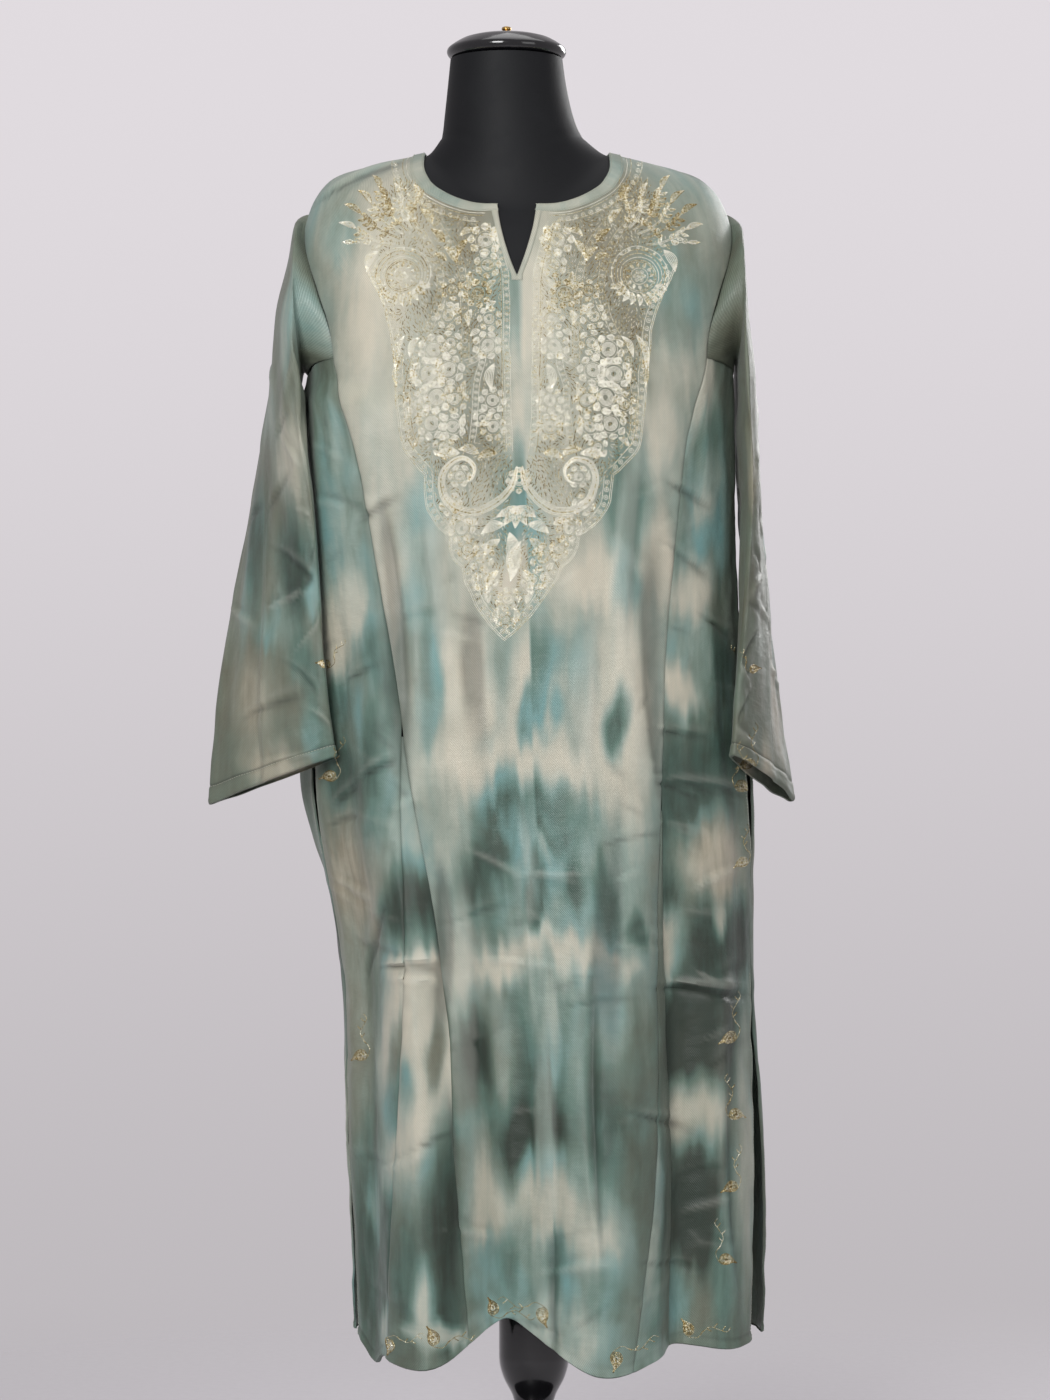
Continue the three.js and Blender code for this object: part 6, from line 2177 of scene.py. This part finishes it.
class TUNIC_OT_trim(bpy.types.Operator):
    """Bind the neckline and its slit"""

    bl_idname = "tunic.trim"
    bl_label = "Neck band and binding"

    def execute(self, context):
        material = cloth_materials()
        neck_band(material)
        slit_binding(material)
        return {"FINISHED"}


class TUNIC_OT_form(bpy.types.Operator):
    """Build the dress form, its cap, post and foot"""

    bl_idname = "tunic.form"
    bl_label = "Dress form and stand"

    def execute(self, context):
        form_cover(form_material())
        lacquer = lacquer_material()
        cap = turned_piece("cap_turned", CAP_PROFILE, NECK_ACROSS, 96, 1.5)
        finish_piece(cap, lacquer, ["neck_cap"])
        knob = turned_piece("finial_knob", FINIAL_PROFILE, NECK_ACROSS, 40, 0.4)
        finish_piece(knob, brass_material(), ["finial"])
        post = turned_piece("post_turned", POST_PROFILE, 0, 96, 2.5)
        finish_piece(post, lacquer, ["post"])
        foot = turned_piece("foot_disc", BASE_PROFILE, 0, 128, 1.5)
        finish_piece(foot, base_material(), ["base"])
        return {"FINISHED"}


class TUNIC_OT_sewing(bpy.types.Operator):
    """Sew the hems, the open sides and both edges of the neck band"""

    bl_idname = "tunic.sewing"
    bl_label = "Rows of stitches"

    def execute(self, context):
        material = sewing_thread_material()
        settings = context.scene.tunic_sewing
        sewn("hem_stitches", STITCHED, material, settings.pitch, settings.length, settings.thickness)
        turn, down, share = trim_band()
        lines = []
        for near in (0.1, 0.9):
            row = int(round(near * (len(share) - 1)))
            normal = body_normal(turn[row], down[row])
            lines.append((body(turn[row], down[row]) + normal * 1.1, normal))
        finer = 0.8
        pitch, length = settings.pitch * finer, settings.length * finer
        sewn("neck_stitches", lines, material, pitch, length, settings.thickness)
        return {"FINISHED"}


class TUNIC_OT_embroidery(bpy.types.Operator):
    """Couch the gold thread of the yoke, the neckline and the small sprigs"""

    bl_idname = "tunic.embroidery"
    bl_label = "Gold embroidery"

    def execute(self, context):
        material = gold_thread_material()
        front = [surface_of("front_panel_cloth")]
        half = yoke_half()
        half += seed_stitches(half)
        for side, name in ((-1, "left"), (1, "right")):
            placed = [(yoke_place(path, side, 90 + side), width, tone) for path, width, tone in half]
            placed += neckline_threads(side)
            thread_mesh(f"yoke_embroidery_{name}", lay_threads(placed, front), material)
        middle = [(yoke_place(path, 1, 95), width, tone) for path, width, tone in yoke_middle()]
        thread_mesh("yoke_embroidery_middle", lay_threads(middle, front), material)
        for part, rows, more, forward in (
            ("front", FRONT_SPRIGS, ("sleeve_left", "sleeve_right"), 1),
            ("back", BACK_SPRIGS, (), -1),
        ):
            cut = ("panel", "gore_left", "gore_right", "godet_left", "godet_right")
            names = [f"{part}_{piece}" for piece in cut]
            cloth = [surface_of(name + "_cloth") for name in (*names, *more)]
            sprigs = [thread for row in rows for thread in sprig(*row)]
            thread_mesh(f"sprigs_{part}", lay_threads(sprigs, cloth, forward), material)
        return {"FINISHED"}


def floor_material(radius):
    material, tree, shader = new_material("pale_floor", Roughness=0.85)
    place = node(tree, "ShaderNodeTexCoord", (-900, 0))
    length = node(tree, "ShaderNodeVectorMath", (-700, 0), operation="LENGTH")
    tree.links.new(place.outputs["Object"], length.inputs[0])
    fade = node(tree, "ShaderNodeMapRange", (-500, 0), interpolation_type="SMOOTHSTEP")
    set_inputs(fade, From_Min=radius * 0.4, From_Max=radius, To_Min=1.0, To_Max=0.0)
    tree.links.new(length.outputs["Value"], fade.inputs["Value"])
    tree.links.new(fade.outputs["Result"], shader.inputs["Alpha"])
    speck = noise_node(tree, place.outputs["Object"], 90.0, 3.0, 0.5, (-500, 300))
    colour = mix_colours(tree, speck, linear(205, 202, 206), linear(214, 211, 215), place=(-200, 300))
    tree.links.new(colour, shader.inputs["Base Color"])
    return material


def surround(tree, settings):
    """A plain wall of light: what the camera sees of it, and the softer light that it gives."""
    background = tree.nodes["Background"]
    place = node(tree, "ShaderNodeTexCoord", (-900, 0))
    split = node(tree, "ShaderNodeSeparateXYZ", (-700, 0))
    tree.links.new(place.outputs["Generated"], split.inputs[0])
    height = node(tree, "ShaderNodeMapRange", (-500, 0), interpolation_type="SMOOTHSTEP")
    set_inputs(height, From_Min=-0.22, From_Max=0.2)
    tree.links.new(split.outputs[2], height.inputs["Value"])
    low = (*[part * 0.76 for part in settings.backdrop], 1)
    high = (*[part * 1.13 for part in settings.backdrop], 1)
    seen = mix_colours(tree, height.outputs["Result"], low, high, place=(-300, 0))
    path = node(tree, "ShaderNodeLightPath", (-300, 300))
    given = (*[part * settings.surround for part in settings.backdrop], 1)
    colour = mix_colours(tree, path.outputs["Is Camera Ray"], given, seen, place=(-100, 0))
    tree.links.new(colour, background.inputs["Color"])


def soft_light(name, place, aim, size, power):
    """A rectangular light at a place, turned to what it is aimed at."""
    light = bpy.data.lights.new(name, "AREA")
    light.shape = "RECTANGLE"
    light.size, light.size_y = size
    light.energy = power
    made = link_object(name, light)
    made.location = place
    made.rotation_mode = "QUATERNION"
    made.rotation_quaternion = (Vector(aim) - Vector(place)).to_track_quat("-Z", "Y")


FLOOR_Z = -0.0006
FLOOR_STEPS = 96
CAMERA_PLACE = (-0.009, -3.7, 0.875)
CAMERA_LENS = 95.14
SENSOR = 36.0


class TUNIC_OT_stage(bpy.types.Operator):
    """Lay the pale floor and set the lights and the camera"""

    bl_idname = "tunic.stage"
    bl_label = "Stage, lights and camera"

    def execute(self, context):
        settings = context.scene.tunic_stage
        radius = settings.floor_radius
        angles = [2 * math.pi * i / FLOOR_STEPS for i in range(FLOOR_STEPS)]
        ring = [(radius * math.cos(angle), radius * math.sin(angle), FLOOR_Z) for angle in angles]
        fan = [(0, i + 1, (i + 1) % FLOOR_STEPS + 1) for i in range(FLOOR_STEPS)]
        mesh = bpy.data.meshes.new("floor")
        mesh.from_pydata([(0, 0, FLOOR_Z), *ring], [], fan)
        mesh.materials.append(floor_material(radius))
        link_object("floor", mesh)
        world = bpy.data.worlds.new("soft_surround")
        world.use_nodes = True
        surround(world.node_tree, settings)
        context.scene.world = world
        soft_light("key_light", (-1.05, -3.3, 2.3), (0, 0, 0.95), (1.2, 1.6), settings.key_power)
        soft_light("fill_light", (2.4, -2.6, 1.7), (0, 0, 0.9), (1.6, 2.2), settings.fill_power)
        soft_light("rear_light", (2.0, 2.8, 2.2), (0, 0, 0.95), (1.4, 1.8), settings.key_power * 0.65)
        soft_light("top_light", (0.2, 0.3, 3.2), (0, 0, 1.0), (1.6, 1.6), settings.fill_power * 0.6)
        camera = bpy.data.cameras.new("camera")
        camera.lens = CAMERA_LENS
        camera.sensor_width = SENSOR
        camera.sensor_fit = "AUTO"
        holder = link_object("camera", camera)
        holder.location = CAMERA_PLACE
        holder.rotation_euler = (math.pi / 2, 0, 0)
        context.scene.camera = holder
        context.scene.view_settings.view_transform = "Standard"
        return {"FINISHED"}


class TUNIC_PT_panel(bpy.types.Panel):
    """The tunic's sizes and the buttons that build its pieces"""

    bl_label = "Embroidered tunic"
    bl_idname = "TUNIC_PT_panel"
    bl_space_type = "VIEW_3D"
    bl_region_type = "UI"
    bl_category = "Tunic"

    def draw(self, context):
        layout = self.layout
        for label, kind in SETTINGS.items():
            for name in kind.__annotations__:
                layout.prop(getattr(context.scene, label), name)
        for operator in OPERATORS:
            layout.operator(operator.bl_idname)


OPERATORS = (
    TUNIC_OT_cloth, TUNIC_OT_trim, TUNIC_OT_sewing, TUNIC_OT_embroidery, TUNIC_OT_form, TUNIC_OT_stage,
)
SETTINGS = {"tunic_dye": TunicDye, "tunic_sewing": TunicSewing, "tunic_stage": TunicStage}
CLASSES = (*SETTINGS.values(), *OPERATORS, TUNIC_PT_panel)


def register():
    for made in CLASSES:
        bpy.utils.register_class(made)
    for name, kind in SETTINGS.items():
        setattr(bpy.types.Scene, name, PointerProperty(type=kind))


def unregister():
    for name in SETTINGS:
        delattr(bpy.types.Scene, name)
    for made in reversed(CLASSES):
        bpy.utils.unregister_class(made)


def main():
    register()
    bpy.ops.tunic.cloth()
    bpy.ops.tunic.trim()
    bpy.ops.tunic.sewing()
    bpy.ops.tunic.embroidery()
    bpy.ops.tunic.form()
    bpy.ops.tunic.stage()


if __name__ == "__main__":
    main()
